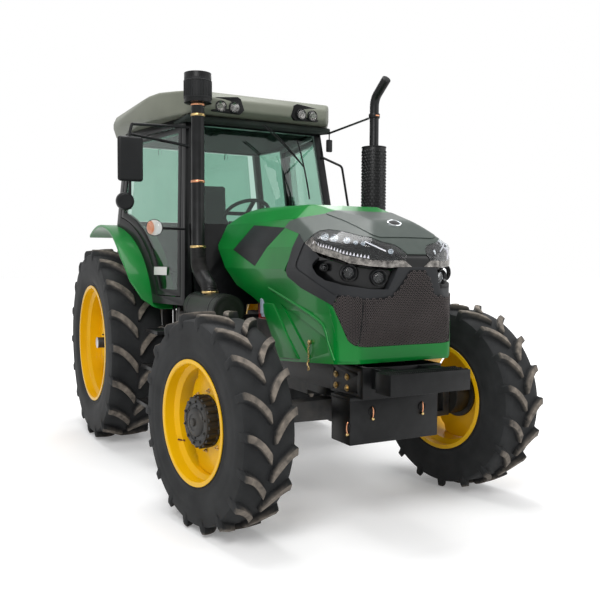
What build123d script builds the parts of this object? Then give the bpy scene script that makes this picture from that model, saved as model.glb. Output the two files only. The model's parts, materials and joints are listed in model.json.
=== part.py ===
from build123d import *
import math
import os

# Farm tractor with front-wheel assist, as separate named sub-parts.
# Lengths are millimetres. While a sub-part is drawn, x runs to the tractor's left, y runs back from
# the front axle and z up from the ground. export_all() moves the origin to the middle of the length.

# ---- Layout -------------------------------------------------------------------------------------
WHEELBASE = 2680.0
FRONT_OVERHANG = 912.0  # front axle to the face of the front step
REAR_OVERHANG = 960.0  # rear axle to the rear of the lower links' eyes
FIT = 0.3  # clearance between seated parts
RUNNING = 0.05  # radial clearance of a pin or shaft in its bore
GAP = 6.0  # clearance between parts that move past each other

# ---- Wheels -------------------------------------------------------------------------------------
FRONT_TRACK = 1890.0
REAR_TRACK = 1750.0
LUGS = 18  # on each half of a tread
LUG_HALF_ANGLE = 1.8  # degrees, at a lug's top
LUG_DRAFT = 0.6  # degrees that a lug widens by, each side, towards its foot
CENTRE_GAP = 16.0  # between the inner ends of the two rows of lugs
FLANGE_HEIGHT = 18.0
FLANGE_THICKNESS = 9.0
BEAD_LEDGE = 62.0
WELL_DEPTH = 28.0
BARREL_WALL = 10.0
DISC_THICKNESS = 14.0


class Wheel:
    """Sizes of one tyre and its rim; offsets run outboard from the middle of the tyre."""

    def __init__(
        self, tyre_radius, lug_height, tyre_width, flange_radius, rim_width, track, disc_offset, hub_radius
    ):
        self.tyre_radius = tyre_radius
        self.lug_height = lug_height
        self.tyre_width = tyre_width
        self.flange_radius = flange_radius
        self.rim_width = rim_width
        self.track = track
        self.disc_offset = disc_offset
        self.hub_radius = hub_radius

    @property
    def seat_radius(self):
        """Radius of the bead seat."""
        return self.flange_radius - FLANGE_HEIGHT

    @property
    def barrel_radius(self):
        """Radius inside the well, where the disc meets the barrel."""
        return self.seat_radius - WELL_DEPTH - BARREL_WALL

    @property
    def centre(self):
        """Distance of the tyre's middle from the tractor's centre line."""
        return self.track / 2


FRONT = Wheel(655.0, 36.0, 344.0, 376.0, 336.0, FRONT_TRACK, 50.0, 112.0)
REAR = Wheel(858.0, 44.0, 450.0, 524.0, 412.0, REAR_TRACK, 20.0, 120.0)
DISC_CORE_RADIUS = 212.0  # a front disc's round middle; two arms run from it to the barrel
DISC_ARM_ROOT = 165.0  # half width of an arm at the round middle
DISC_ARM_TIP = 75.0  # half width of an arm at the barrel

# ---- Steering -----------------------------------------------------------------------------------
KINGPIN_X = 700.0
KINGPIN_RADIUS = 22.0
STEER_AT_REST = 7.9  # degrees, both front wheels turned to the tractor's left
BEAM_BOSS_RADIUS = 55.0
BEAM_BOSS_HALF_HEIGHT = 90.0
YOKE_PLATE = 35.0
YOKE_RADIUS = 62.0
YOKE_LENGTH = 125.0
SPINDLE_RADIUS = 60.0
SPINDLE_LENGTH = 40.0
STEERING_ARM = 200.0
TRACK_ROD_RADIUS = 15.0
TRACK_ROD_EYE = 24.0
TRACK_ROD_PIN = 12.0

# ---- Frame, engine and driveline ----------------------------------------------------------------
RAIL_INSIDE = 230.0
RAIL_PLATE = 25.0
RAIL_FRONT = -640.0
RAIL_REAR = 480.0
RAIL_BOTTOM = 820.0
RAIL_TOP = 1000.0
ENGINE_FRONT = 150.0
ENGINE_REAR = 1100.0
ENGINE_BOTTOM = 700.0
SUMP_TOP = 860.0
HEAD_BOTTOM = 1230.0
ENGINE_TOP = 1400.0
TRANSMISSION_HALF_WIDTH = 190.0
TRANSMISSION_BOTTOM = 560.0
TRANSMISSION_TOP = 1120.0
TRANSMISSION_REAR = 2960.0
REAR_HOUSING_RADIUS = 110.0
REAR_HOUSING_END = 560.0
AXLE_ENTRY = 60.0  # how far a bar axle runs into its housing
ROCKSHAFT = (2870.0, 1180.0)  # (y, z) of the lift arms' shaft
ROCKSHAFT_RADIUS = 32.0
BAR_AXLE_RADIUS = 48.0
BAR_AXLE_END = 1030.0

# ---- Hood ---------------------------------------------------------------------------------------
HOOD_WALL = 25.0
HOOD_SEAM = 1.0

# ---- Cab ----------------------------------------------------------------------------------------
CAB_FOOT = (700.0, 1190.0, 1400.0)  # outer foot of the left front pillar
CAB_PLAN_TAPER = 10.6  # degrees the cab side opens towards the rear
CAB_TUMBLEHOME = 6.2  # degrees the cab side leans in
CAB_TOP = 2745.0
CAB_WALL = 60.0
CAB_FLOOR = 1270.0
REAR_DECK = 1480.0
FLOOR_PLATE = 30.0
CAB_REAR = 2940.0
PILLAR = 62.0
GLASS = 6.0
DOOR_FRAME = 48.0
DOOR_THICKNESS = 40.0
DOOR_GAP = 7.0
DOOR_ARC_CLEARANCE = 90.0

SIGNAL_LAMP_X = 935.0
SIGNAL_LAMP_Z = 1855.0

# ---- Fenders ------------------------------------------------------------------------------------
FENDER_RADIUS = 1075.0
FENDER_SHEET = 25.0
FENDER_INSIDE = 605.0
FENDER_OUTSIDE = 1000.0


# ---- Drawing helpers ----------------------------------------------------------------------------
def block(x, y, z):
    """A box between (low, high) limits along each axis."""
    spans = (x, y, z)
    middle = [(low + high) / 2 for low, high in spans]
    size = [high - low for low, high in spans]
    return Pos(*middle) * Box(*size)


def slab(plane, outline, thickness):
    """A closed outline on a plane, extruded along the plane's normal."""
    return extrude(plane * make_face(Polyline(*outline, close=True)), amount=thickness)


def slab_x(outline, low, high):
    """An outline of (y, z) points between two x stations."""
    return slab(Plane.YZ.offset(low), outline, high - low)


def slab_y(outline, low, high):
    """An outline of (x, z) points between two y stations."""
    return slab(Plane(origin=(0, high, 0), x_dir=(1, 0, 0), z_dir=(0, -1, 0)), outline, high - low)


def slab_z(outline, low, high):
    """An outline of (x, y) points between two heights."""
    return slab(Plane.XY.offset(low), outline, high - low)


def rod(start, end, radius):
    """A round bar between two points."""
    run = Vector(*end) - Vector(*start)
    return Plane(origin=start, z_dir=run) * Cylinder(
        radius, run.length, align=(Align.CENTER, Align.CENTER, Align.MIN)
    )


def across(x_low, x_high, y, z, radius):
    """A round bar along x."""
    return rod((x_low, y, z), (x_high, y, z), radius)


def flat_bar(start, end, width, thickness, side=(1, 0, 0)):
    """A rectangular bar between two points; its width lies along side."""
    run = Vector(*end) - Vector(*start)
    return Plane(origin=start, x_dir=side, z_dir=run) * Box(
        width, thickness, run.length, align=(Align.CENTER, Align.CENTER, Align.MIN)
    )


def mirrored(shape):
    """The same shape on the other side of the tractor."""
    return mirror(shape, about=Plane.YZ)


def both(shape):
    """A left-hand shape and its right-hand twin."""
    return shape + mirrored(shape)


def on_tread(x, radius, turn):
    """A point of a wheel about the x axis; turn is degrees from the ground, up over the front."""
    angle = math.radians(turn)
    return Vector(x, -radius * math.sin(angle), -radius * math.cos(angle))


def band(first, second):
    """Triangles between two lines of as many points; points that the lines share make none."""
    faces = []
    for i in range(len(first) - 1):
        for corners in ((first[i], second[i], second[i + 1]), (first[i], second[i + 1], first[i + 1])):
            distinct = all((corners[k] - corners[k - 1]).length > 1e-6 for k in range(3))
            if distinct:
                faces.append(Face(Wire.make_polygon(corners, close=True)))
    return faces


def turned(profile):
    """A closed (x, radius) profile turned about the x axis."""
    return revolve(make_face(Polyline(*profile, close=True)), Axis.X)


# ---- Wheels -------------------------------------------------------------------------------------
def lug_rows(wheel):
    """Stations of a lug from the tread's middle outwards: (x, top radius, foot radius, turn)."""
    tip = wheel.tyre_radius / math.cos(math.radians(LUG_HALF_ANGLE))
    half_tread = wheel.tyre_width / 2 - 14
    foot = wheel.tyre_radius - wheel.lug_height
    return [
        (CENTRE_GAP / 2, tip, foot, 0.0),
        (0.45 * half_tread, tip - 2, foot - 2, 7.5),
        (half_tread, tip - 8, foot - 12, 12.5),
    ]


def half_tyre(wheel, phase):
    """Faces, centre ring and bead ring of a tyre's half with x above 0; phase turns its lugs."""
    rows = lug_rows(wheel)
    rise = wheel.tyre_radius - wheel.flange_radius
    last_turn = rows[-1][3]
    shoulder = (wheel.tyre_width / 2 - 3, wheel.flange_radius + 0.68 * rise)
    pitch = 360 / LUGS
    columns = []
    for k in range(LUGS):
        for edge in (-1, 1):
            foot_turn = k * pitch + phase + edge * (LUG_HALF_ANGLE + LUG_DRAFT)
            top_turn = k * pitch + phase + edge * LUG_HALF_ANGLE
            end = on_tread(*shoulder, foot_turn + last_turn)
            foot = [on_tread(x, low, foot_turn + turn) for x, _, low, turn in rows] + [end]
            top = [on_tread(x, high, top_turn + turn) for x, high, _, turn in rows] + [end]
            columns += [foot, top] if edge < 0 else [top, foot]
    faces = []
    for i, column in enumerate(columns):
        faces += band(column, columns[(i + 1) % len(columns)])
    for k in range(LUGS):
        foot_a, top_a, top_b, foot_b = [columns[4 * k + i][0] for i in range(4)]
        faces += band([foot_a, top_a], [foot_b, top_b])
    feet = [columns[i] for i in range(len(columns)) if i % 4 in (0, 3)]
    rings = [[column[-1] for column in feet]]
    lip = wheel.rim_width / 2 - FLANGE_THICKNESS - FIT
    bead = (wheel.seat_radius + FIT) / math.cos(math.pi / (2 * LUGS))
    sidewall = [
        (wheel.tyre_width / 2, wheel.flange_radius + 0.42 * rise),
        (lip, wheel.flange_radius + 8),
        (lip, bead),
    ]
    for x, radius in sidewall:
        turns = [(i // 2 + (0.25 if i % 2 else -0.25)) * pitch + phase + last_turn for i in range(2 * LUGS)]
        rings.append([on_tread(x, radius, turn) for turn in turns])
    for inner, outer in zip(rings, rings[1:]):
        faces += band(inner + inner[:1], outer + outer[:1])
    return faces, [column[0] for column in feet], rings[-1]


def tyre(wheel):
    """Tyre with two rows of lugs, about the x axis; a lug of the outboard row lies flat on the ground."""
    flip = Plane.YZ
    half_pitch = 180 / LUGS
    outboard, centre, bead = half_tyre(wheel, 0.0)
    inboard, other_centre, other_bead = half_tyre(wheel, half_pitch)
    faces = outboard + [mirror(face, about=flip) for face in inboard]
    for ring, other in ((centre, other_centre), (bead, other_bead)):
        turned_back = other[-1:] + other[:-1]
        facing = [Vector(-point.X, point.Y, point.Z) for point in turned_back]
        faces += band(ring + ring[:1], facing + facing[:1])
    return Solid(Shell(faces))


def disc_gap(wheel):
    """One of the two openings between a front disc's arms, in front of or behind the hub."""
    middle = wheel.disc_offset - DISC_THICKNESS / 2
    reach = wheel.barrel_radius - 1
    field = across(middle - 20, middle + 20, 0, 0, reach)
    field -= across(middle - 21, middle + 21, 0, 0, DISC_CORE_RADIUS)
    between_arms = [(0, 0), (DISC_ARM_ROOT, 0.55 * DISC_CORE_RADIUS), (DISC_ARM_TIP, reach), (600, reach),
                    (600, -reach), (DISC_ARM_TIP, -reach), (DISC_ARM_ROOT, -0.55 * DISC_CORE_RADIUS)]
    return field & slab_x(between_arms, middle - 20, middle + 20)


def rim(wheel):
    """One pressed rim with its well and its disc, about the x axis; the disc is outboard."""
    half = wheel.rim_width / 2
    flange = wheel.flange_radius
    seat = wheel.seat_radius
    well = seat - WELL_DEPTH
    inside = wheel.barrel_radius
    ledge = half - BEAD_LEDGE
    slope = WELL_DEPTH + 4
    disc = wheel.disc_offset
    bore = wheel.hub_radius + FIT
    outer = [(-half, flange), (-half + FLANGE_THICKNESS, flange), (-half + FLANGE_THICKNESS, seat),
             (-ledge, seat), (-ledge + slope, well), (ledge - slope, well), (ledge, seat),
             (half - FLANGE_THICKNESS, seat), (half - FLANGE_THICKNESS, flange), (half, flange)]
    inner = [(half, seat - BARREL_WALL), (ledge + 4, seat - BARREL_WALL), (ledge - slope + 4, inside),
             (disc, inside), (disc, bore), (disc - DISC_THICKNESS, bore), (disc - DISC_THICKNESS, inside),
             (-ledge + slope - 4, inside), (-ledge - 4, seat - BARREL_WALL), (-half, seat - BARREL_WALL)]
    body = turned(outer + inner)
    if wheel is FRONT:
        body -= disc_gap(wheel) + mirror(disc_gap(wheel), about=Plane.XZ)
    return body


def front_hub():
    """Planetary hub of a front wheel, about the x axis, measured from the tyre's middle."""
    inboard = KINGPIN_X + YOKE_LENGTH + GAP - FRONT.centre
    back_face = FRONT.disc_offset - DISC_THICKNESS
    drum = 165.0
    cap_length = 70.0
    cap_radius = 78.0
    flange = 20.0
    bore = SPINDLE_RADIUS + RUNNING
    bore_end = KINGPIN_X + YOKE_LENGTH + SPINDLE_LENGTH - FRONT.centre + GAP
    return turned(
        [
            (inboard, bore),
            (inboard, drum - 30),
            (back_face - flange, drum - 30),
            (back_face - flange, drum),
            (back_face, drum),
            (back_face, FRONT.hub_radius),
            (FRONT.disc_offset + cap_length - 20, FRONT.hub_radius),
            (FRONT.disc_offset + cap_length, cap_radius),
            (FRONT.disc_offset + cap_length, 0),
            (bore_end, 0),
            (bore_end, bore),
        ]
    )


def rear_hub():
    """Bar axle and clamped hub of a rear wheel, about the x axis, from the tyre's middle."""
    start = REAR_HOUSING_END - AXLE_ENTRY - REAR.centre
    back_face = REAR.disc_offset - DISC_THICKNESS
    cone_start = back_face - 110.0
    flange = 190.0
    sleeve = 85.0
    end = BAR_AXLE_END - REAR.centre
    nose = REAR.disc_offset + 55.0
    return turned(
        [
            (start, 0),
            (start, BAR_AXLE_RADIUS),
            (cone_start, BAR_AXLE_RADIUS),
            (cone_start, sleeve),
            (back_face - 40, sleeve + 20),
            (back_face - 25, flange),
            (back_face, flange),
            (back_face, REAR.hub_radius),
            (REAR.disc_offset + 10, REAR.hub_radius),
            (nose, sleeve),
            (nose, BAR_AXLE_RADIUS),
            (end, BAR_AXLE_RADIUS),
            (end, 0),
        ]
    )


def wheel_place(wheel, side):
    """Moves a wheel piece drawn about the x axis to its place; side is 1 on the left."""
    station = 0.0 if wheel is FRONT else WHEELBASE
    return Pos(side * wheel.centre, station, wheel.tyre_radius)


def steered(shape, side):
    """Turns a front piece about its kingpin to the angle at which the tractor stands."""
    pin = Pos(side * KINGPIN_X, 0, 0)
    return pin * Rot(0, 0, STEER_AT_REST) * pin.inverse() * shape


def wheel_nodes():
    """Tyre, rim and hub of all four wheels."""
    nodes = {}
    for end, wheel, hub in (("front", FRONT, front_hub()), ("rear", REAR, rear_hub())):
        pieces = {"tyre": tyre(wheel), "rim": rim(wheel), "hub": hub}
        for name, piece in pieces.items():
            for side_name, side in (("left", 1), ("right", -1)):
                placed = wheel_place(wheel, side) * (piece if side == 1 else mirrored(piece))
                if wheel is FRONT:
                    placed = steered(placed, side)
                nodes[f"{name}_{end}_{side_name}"] = placed
    return nodes


# ---- Front axle and steering --------------------------------------------------------------------
AXLE_Z = FRONT.tyre_radius
TRUNNION_RADIUS = 70.0
TRUNNION_HALF_LENGTH = 135.0
HANGER_START = 98.0


def front_axle():
    """Axle beam with its differential, trunnions, end bosses and kingpins."""
    beam = both(
        slab_y(
            [
                (0, AXLE_Z - 72),
                (KINGPIN_X - 40, AXLE_Z - 60),
                (KINGPIN_X - 40, AXLE_Z + 50),
                (0, AXLE_Z + 72),
            ],
            -62,
            62,
        )
    )
    differential = across(-125, 125, 0, AXLE_Z, 94)
    trunnions = rod((0, -TRUNNION_HALF_LENGTH, AXLE_Z), (0, TRUNNION_HALF_LENGTH, AXLE_Z), TRUNNION_RADIUS)
    boss_ends = (AXLE_Z - BEAM_BOSS_HALF_HEIGHT, AXLE_Z + BEAM_BOSS_HALF_HEIGHT)
    pin_reach = BEAM_BOSS_HALF_HEIGHT + GAP + YOKE_PLATE
    boss = rod((KINGPIN_X, 0, boss_ends[0]), (KINGPIN_X, 0, boss_ends[1]), BEAM_BOSS_RADIUS)
    pin = rod((KINGPIN_X, 0, AXLE_Z - pin_reach), (KINGPIN_X, 0, AXLE_Z + pin_reach), KINGPIN_RADIUS)
    return beam + differential + trunnions + both(boss + pin)


def knuckle():
    """Left steering knuckle: yoke round the beam's boss, spindle and steering arm."""
    inner = BEAM_BOSS_HALF_HEIGHT + GAP
    outer = inner + YOKE_PLATE
    body = None
    for low, high in ((-outer, -inner), (inner, outer)):
        z = (AXLE_Z + low, AXLE_Z + high)
        ear = rod((KINGPIN_X, 0, z[0]), (KINGPIN_X, 0, z[1]), YOKE_RADIUS)
        ear += block((KINGPIN_X, KINGPIN_X + YOKE_LENGTH), (-YOKE_RADIUS, YOKE_RADIUS), z)
        body = ear if body is None else body + ear
    web_start = KINGPIN_X + BEAM_BOSS_RADIUS + GAP + 4
    body += block(
        (web_start, KINGPIN_X + YOKE_LENGTH), (-YOKE_RADIUS, YOKE_RADIUS), (AXLE_Z - outer, AXLE_Z + outer)
    )
    body += across(
        KINGPIN_X + YOKE_LENGTH, KINGPIN_X + YOKE_LENGTH + SPINDLE_LENGTH, 0, AXLE_Z, SPINDLE_RADIUS
    )
    arm_z = (AXLE_Z - outer, AXLE_Z - inner)
    body += block((KINGPIN_X - 25, KINGPIN_X + 25), (0, STEERING_ARM), arm_z)
    body += rod((KINGPIN_X, STEERING_ARM, arm_z[0]), (KINGPIN_X, STEERING_ARM, arm_z[1]), TRACK_ROD_EYE + 4)
    bore = KINGPIN_RADIUS + RUNNING
    body -= rod((KINGPIN_X, 0, AXLE_Z - outer - 1), (KINGPIN_X, 0, AXLE_Z + outer + 1), bore)
    return body


def knuckle_nodes():
    """Both knuckles; the arm bores take the track rod's pins, the open one with more room."""
    outer = BEAM_BOSS_HALF_HEIGHT + GAP + YOKE_PLATE
    nodes = {}
    for side_name, side, play in (("left", 1, RUNNING), ("right", -1, 2.0)):
        piece = knuckle() if side == 1 else mirrored(knuckle())
        eye = rod(
            (side * KINGPIN_X, STEERING_ARM, AXLE_Z - outer - 1),
            (side * KINGPIN_X, STEERING_ARM, AXLE_Z),
            TRACK_ROD_PIN + play,
        )
        nodes[f"knuckle_{side_name}"] = steered(piece - eye, side)
    return nodes


def arm_end(side):
    """Plan position of a steering arm's eye as the tractor stands."""
    turn = math.radians(STEER_AT_REST)
    return side * KINGPIN_X - STEERING_ARM * math.sin(turn), STEERING_ARM * math.cos(turn)


def track_rod():
    """Tie rod above the steering arms, with an eye and a pin at each end."""
    arm_top = AXLE_Z - BEAM_BOSS_HALF_HEIGHT - GAP
    arm_bottom = arm_top - YOKE_PLATE
    eye_bottom = arm_top + GAP
    eye_top = eye_bottom + 2 * TRACK_ROD_RADIUS + 8
    middle = (eye_bottom + eye_top) / 2
    ends = [arm_end(side) for side in (-1, 1)]
    body = rod((*ends[0], middle), (*ends[1], middle), TRACK_ROD_RADIUS)
    for x, y in ends:
        body += rod((x, y, eye_bottom), (x, y, eye_top), TRACK_ROD_EYE)
        body += rod((x, y, arm_bottom), (x, y, eye_top), TRACK_ROD_PIN)
    return body


# ---- Front frame, engine and driveline ----------------------------------------------------------
PLATE_X = RAIL_INSIDE + 2 * RAIL_PLATE
PLATE_REAR = -276.0
TOW_HOLE_RADIUS = 17.0
PLATE_BOLT_RADIUS = 9.0
PLATE_BOLT_SPACING_Y = 250.0
PLATE_BOLT_SPACING_Z = 110.0
PLATE_BOLT_Y = -450.0
PLATE_BOLT_Z = 905.0


def front_frame():
    """Side rails, outer side plates, cross plates and the hangers of the axle's trunnions."""
    rail = block((RAIL_INSIDE, RAIL_INSIDE + RAIL_PLATE), (RAIL_FRONT, RAIL_REAR), (RAIL_BOTTOM, RAIL_TOP))
    plate = block(
        (RAIL_INSIDE + RAIL_PLATE, PLATE_X), (RAIL_FRONT, PLATE_REAR), (RAIL_BOTTOM, RAIL_TOP)
    )
    side = rail + plate
    for y in (-1, 1):
        for z in (-1, 1):
            side -= across(
                RAIL_INSIDE - 1,
                PLATE_X + 1,
                PLATE_BOLT_Y + y * PLATE_BOLT_SPACING_Y / 2,
                PLATE_BOLT_Z + z * PLATE_BOLT_SPACING_Z / 2,
                PLATE_BOLT_RADIUS,
            )
    body = both(side)
    body += block((-PLATE_X, PLATE_X), (RAIL_FRONT, RAIL_FRONT + 30), (RAIL_BOTTOM, RAIL_TOP))
    bed = (-TRUNNION_HALF_LENGTH, TRUNNION_HALF_LENGTH)
    body += block((-RAIL_INSIDE, RAIL_INSIDE), bed, (RAIL_BOTTOM - 60, RAIL_BOTTOM + 40))
    for low, high in ((bed[0], -HANGER_START), (HANGER_START, bed[1])):
        hanger = block((-105, 105), (low, high), (AXLE_Z, RAIL_BOTTOM))
        hanger += rod((0, low, AXLE_Z), (0, high, AXLE_Z), 105)
        body += hanger
    bore = TRUNNION_RADIUS + FIT
    return body - rod((0, bed[0] - 1, AXLE_Z), (0, bed[1] + 1, AXLE_Z), bore)


def engine_block():
    """Engine as one plain mass: sump, block and head."""
    body = block((-RAIL_INSIDE, RAIL_INSIDE), (ENGINE_FRONT, ENGINE_REAR), (SUMP_TOP, HEAD_BOTTOM))
    body += block((-150, 150), (ENGINE_FRONT + 110, ENGINE_REAR), (ENGINE_BOTTOM, SUMP_TOP))
    return body + block((-170, 170), (ENGINE_FRONT, ENGINE_REAR - 60), (HEAD_BOTTOM, ENGINE_TOP))


def transmission():
    """Clutch housing and gearbox in one casting, with the rockshaft's bearings and the PTO stub."""
    half = TRANSMISSION_HALF_WIDTH
    outline = [
        (ENGINE_REAR, TRANSMISSION_BOTTOM + 140),
        (1700, TRANSMISSION_BOTTOM),
        (TRANSMISSION_REAR, TRANSMISSION_BOTTOM),
        (TRANSMISSION_REAR, TRANSMISSION_TOP),
        (ENGINE_REAR, TRANSMISSION_TOP),
    ]
    body = slab_x(outline, -half, half)
    shaft_y, shaft_z = ROCKSHAFT
    bearing = block((130, half), (shaft_y - 60, shaft_y + 60), (TRANSMISSION_TOP - 5, shaft_z + 50))
    bearing -= across(100, half + 20, shaft_y, shaft_z, ROCKSHAFT_RADIUS + RUNNING)
    body += both(bearing)
    body += rod((0, TRANSMISSION_REAR, PTO_Z), (0, TRANSMISSION_REAR + PTO_LENGTH, PTO_Z), PTO_RADIUS)
    for x in (-TOP_LINK_GAP / 2 - TOP_LINK_EAR, TOP_LINK_GAP / 2):
        depth = (TRANSMISSION_REAR, TRANSMISSION_REAR + 75)
        body += block((x, x + TOP_LINK_EAR), depth, (TOP_LINK_Z - 35, TOP_LINK_Z + 35))
    reach = TOP_LINK_GAP / 2 + TOP_LINK_EAR + 1
    return body - across(-reach, reach, TRANSMISSION_REAR + 45, TOP_LINK_Z, TOP_LINK_BORE)


def rear_axle():
    """Axle housing on each side of the gearbox, bored for the bar axle."""
    inside = TRANSMISSION_HALF_WIDTH + FIT
    housing = across(inside, REAR_HOUSING_END, WHEELBASE, REAR.tyre_radius, REAR_HOUSING_RADIUS)
    housing -= across(
        REAR_HOUSING_END - AXLE_ENTRY - GAP, REAR_HOUSING_END + 1, WHEELBASE, REAR.tyre_radius,
        BAR_AXLE_RADIUS + RUNNING,
    )
    return both(housing)


def cab_mounts():
    """Four posts that carry the cab: two brackets on the clutch housing, two on the rear axle."""
    half = TRANSMISSION_HALF_WIDTH + FIT
    y = CAB_MOUNT_Y
    bracket = block((half, CAB_MOUNT_X + 60), (y - 50, y + 50), (TRANSMISSION_TOP - 60, TRANSMISSION_TOP))
    bracket += rod((CAB_MOUNT_X, y, TRANSMISSION_TOP), (CAB_MOUNT_X, y, CAB_FLOOR), 45)
    post = block((330, 430), (WHEELBASE - 60, WHEELBASE + 60), (REAR.tyre_radius, REAR_DECK))
    post -= across(320, 440, WHEELBASE, REAR.tyre_radius, REAR_HOUSING_RADIUS + FIT)
    return both(bracket + post)


TANK_LENGTH = 580.0
TANK_REAR = WHEELBASE - 680.0
PTO_Z = 640.0
PTO_LENGTH = 90.0
PTO_RADIUS = 17.5
TOP_LINK_Z = 950.0
TOP_LINK_BORE = 12.8
TOP_LINK_GAP = 56.0  # between the two ears
TOP_LINK_EAR = 24.0
CAB_MOUNT_X = 460.0
CAB_MOUNT_Y = 1340.0


def fuel_tank():
    """Tank under the left side of the cab, with bevelled lower edges."""
    inside = TRANSMISSION_HALF_WIDTH + FIT
    section = [(inside, 1050), (560, 1050), (560, 680), (500, 620), (inside, 620)]
    return slab_y(section, TANK_REAR - TANK_LENGTH, TANK_REAR)


# ---- Front step and battery box -----------------------------------------------------------------
STEP_HALF_WIDTH = 276.0
STEP_BOTTOM = 880.0
STEP_TOP = 996.0
STEP_REAR = -765.0
BOX_HALF_WIDTH = 318.0
BOX_FRONT = -566.0
BOX_DEPTH = 214.0
BOX_BOTTOM = 540.0
BOX_TOP = 806.0


def front_step():
    """Step bar ahead of the frame with a slot behind its tread, on two brackets."""
    body = block((-STEP_HALF_WIDTH, STEP_HALF_WIDTH), (-FRONT_OVERHANG, STEP_REAR), (STEP_BOTTOM, STEP_TOP))
    body -= block((-150, 150), (-FRONT_OVERHANG + 60, STEP_REAR - 30), (STEP_BOTTOM - 1, STEP_TOP + 1))
    bracket = block((110, 220), (STEP_REAR - 1, RAIL_FRONT), (STEP_BOTTOM, STEP_TOP))
    body += both(bracket)
    return body - rod((0, -FRONT_OVERHANG + 30, STEP_BOTTOM - 1), (0, -FRONT_OVERHANG + 30, STEP_TOP + 1),
                      TOW_HOLE_RADIUS)


def battery_box():
    """Closed box under the front frame, hung by two straps."""
    body = block(
        (-BOX_HALF_WIDTH, BOX_HALF_WIDTH), (BOX_FRONT, BOX_FRONT + BOX_DEPTH), (BOX_BOTTOM, BOX_TOP)
    )
    width = (RAIL_INSIDE, RAIL_INSIDE + RAIL_PLATE)
    strap = block(width, (BOX_FRONT + 30, BOX_FRONT + 90), (BOX_TOP, RAIL_BOTTOM))
    return body + both(strap)


# ---- Air intake and exhaust ---------------------------------------------------------------------
INTAKE_X = -630.0
INTAKE_Y = 1110.0
CLEANER_RADIUS = 115.0
CLEANER_Z = 1265.0
CLEANER_FRONT = 500.0
CLEANER_REAR = 1120.0
CLEANER_INLET_Y = 860.0
STACK_RADIUS = 49.0
STACK_FOOT = 1700.0
STACK_HEAD = 2800.0
PRECLEANER_RADIUS = 101.0
PRECLEANER_HEIGHT = 216.0
HOSE_RADIUS = 56.0
HOSE_BEND = 90.0
EXHAUST_X = 620.0
EXHAUST_Y = 634.0
ELBOW_Z = 1180.0
ELBOW_RADIUS = 38.0
ELBOW_BEND = 90.0
SHIELD_RADIUS = 92.0
SHIELD_FOOT = 1440.0
SHIELD_HEAD = 2488.0
TAIL_RADIUS = 35.0
TAIL_BEND_Z = 2850.0
TAIL_BEND = 110.0
TAIL_RUN = 160.0
TAIL_RISE = 120.0
CLAMP_Z = 2722.0


def piped(path, radius):
    """A round bar along a path of straight runs and tangent arcs."""
    return sweep(Plane(origin=path @ 0, z_dir=path % 0) * Circle(radius), path=path)


def air_intake():
    """Air cleaner beside the engine, its hose, stack and the pre-cleaner on top."""
    cleaner = rod((INTAKE_X, CLEANER_FRONT, CLEANER_Z), (INTAKE_X, CLEANER_REAR, CLEANER_Z), CLEANER_RADIUS)
    bracket = block((INTAKE_X, -RAIL_INSIDE), (700, 760), (CLEANER_Z - 65, CLEANER_Z - 39))
    stack = rod((INTAKE_X, INTAKE_Y, STACK_FOOT), (INTAKE_X, INTAKE_Y, STACK_HEAD), STACK_RADIUS)
    top = STACK_HEAD - 20 + PRECLEANER_HEIGHT
    precleaner = rod((INTAKE_X, INTAKE_Y, STACK_HEAD - 20), (INTAKE_X, INTAKE_Y, top), PRECLEANER_RADIUS)
    hose_path = FilletPolyline(
        (INTAKE_X, INTAKE_Y, STACK_FOOT + 20),
        (INTAKE_X, INTAKE_Y, STACK_FOOT - 140),
        (INTAKE_X, CLEANER_INLET_Y, CLEANER_Z + 155),
        (INTAKE_X, CLEANER_INLET_Y, CLEANER_Z + 20),
        radius=HOSE_BEND,
    )
    return cleaner + bracket + stack + precleaner + piped(hose_path, HOSE_RADIUS)


def exhaust_stack():
    """Exhaust elbow from the engine's side, heat shield and curved tail pipe."""
    elbow = FilletPolyline(
        (RAIL_INSIDE, EXHAUST_Y, ELBOW_Z),
        (EXHAUST_X, EXHAUST_Y, ELBOW_Z),
        (EXHAUST_X, EXHAUST_Y, SHIELD_FOOT + 60),
        radius=ELBOW_BEND,
    )
    shield = rod((EXHAUST_X, EXHAUST_Y, SHIELD_FOOT), (EXHAUST_X, EXHAUST_Y, SHIELD_HEAD), SHIELD_RADIUS)
    tail = FilletPolyline(
        (EXHAUST_X, EXHAUST_Y, SHIELD_HEAD - 8),
        (EXHAUST_X, EXHAUST_Y, TAIL_BEND_Z),
        (EXHAUST_X, EXHAUST_Y - TAIL_RUN, TAIL_BEND_Z + TAIL_RISE),
        radius=TAIL_BEND,
    )
    return piped(elbow, ELBOW_RADIUS) + shield + piped(tail, TAIL_RADIUS)


# ---- Hood ---------------------------------------------------------------------------------------
# Side profile of the hood, (y, z) from the chin over the nose to the windscreen.
NOSE_PROFILE = [(-653, 1030), (-651, 1139), (-785, 1571), (-772, 1640), (-660, 1744), (-508, 1855)]
CROWN_FRONT = (24, 1977)
CROWN_REAR = (1060, 2020)
# Rear and lower edge of the side panels, (y, z) from the crown down and forward.
SIDE_EDGE = [(1141, 1734), (804, 1438), (553, 1357), (446, 1311), (289, 1129), (164, 958), (-420, 1010)]
# Half section across the hood, (x, z) from the chin up to the crown's edge.
HALF_SECTION = [(408, 900), (412, 1300), (478, 1560), (468, 1700), (400, 1880), (285, 1962)]
CROWN_Z = 2030.0
# Half plan of the hood, (x, y) from the nose back.
HALF_PLAN = [(150, -770), (290, -690), (400, -560), (470, -350), (480, -100), (480, 1200)]
GRILLE_OUTLINE = [(300, 1139), (430, 1384), (168, 1410), (64, 1565)]
LAMP_OUTLINE = [
    (86, 1622), (86, 1664), (300, 1742), (440, 1800), (490, 1735),
    (445, 1600), (340, 1498), (205, 1535), (180, 1600),
]
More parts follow.
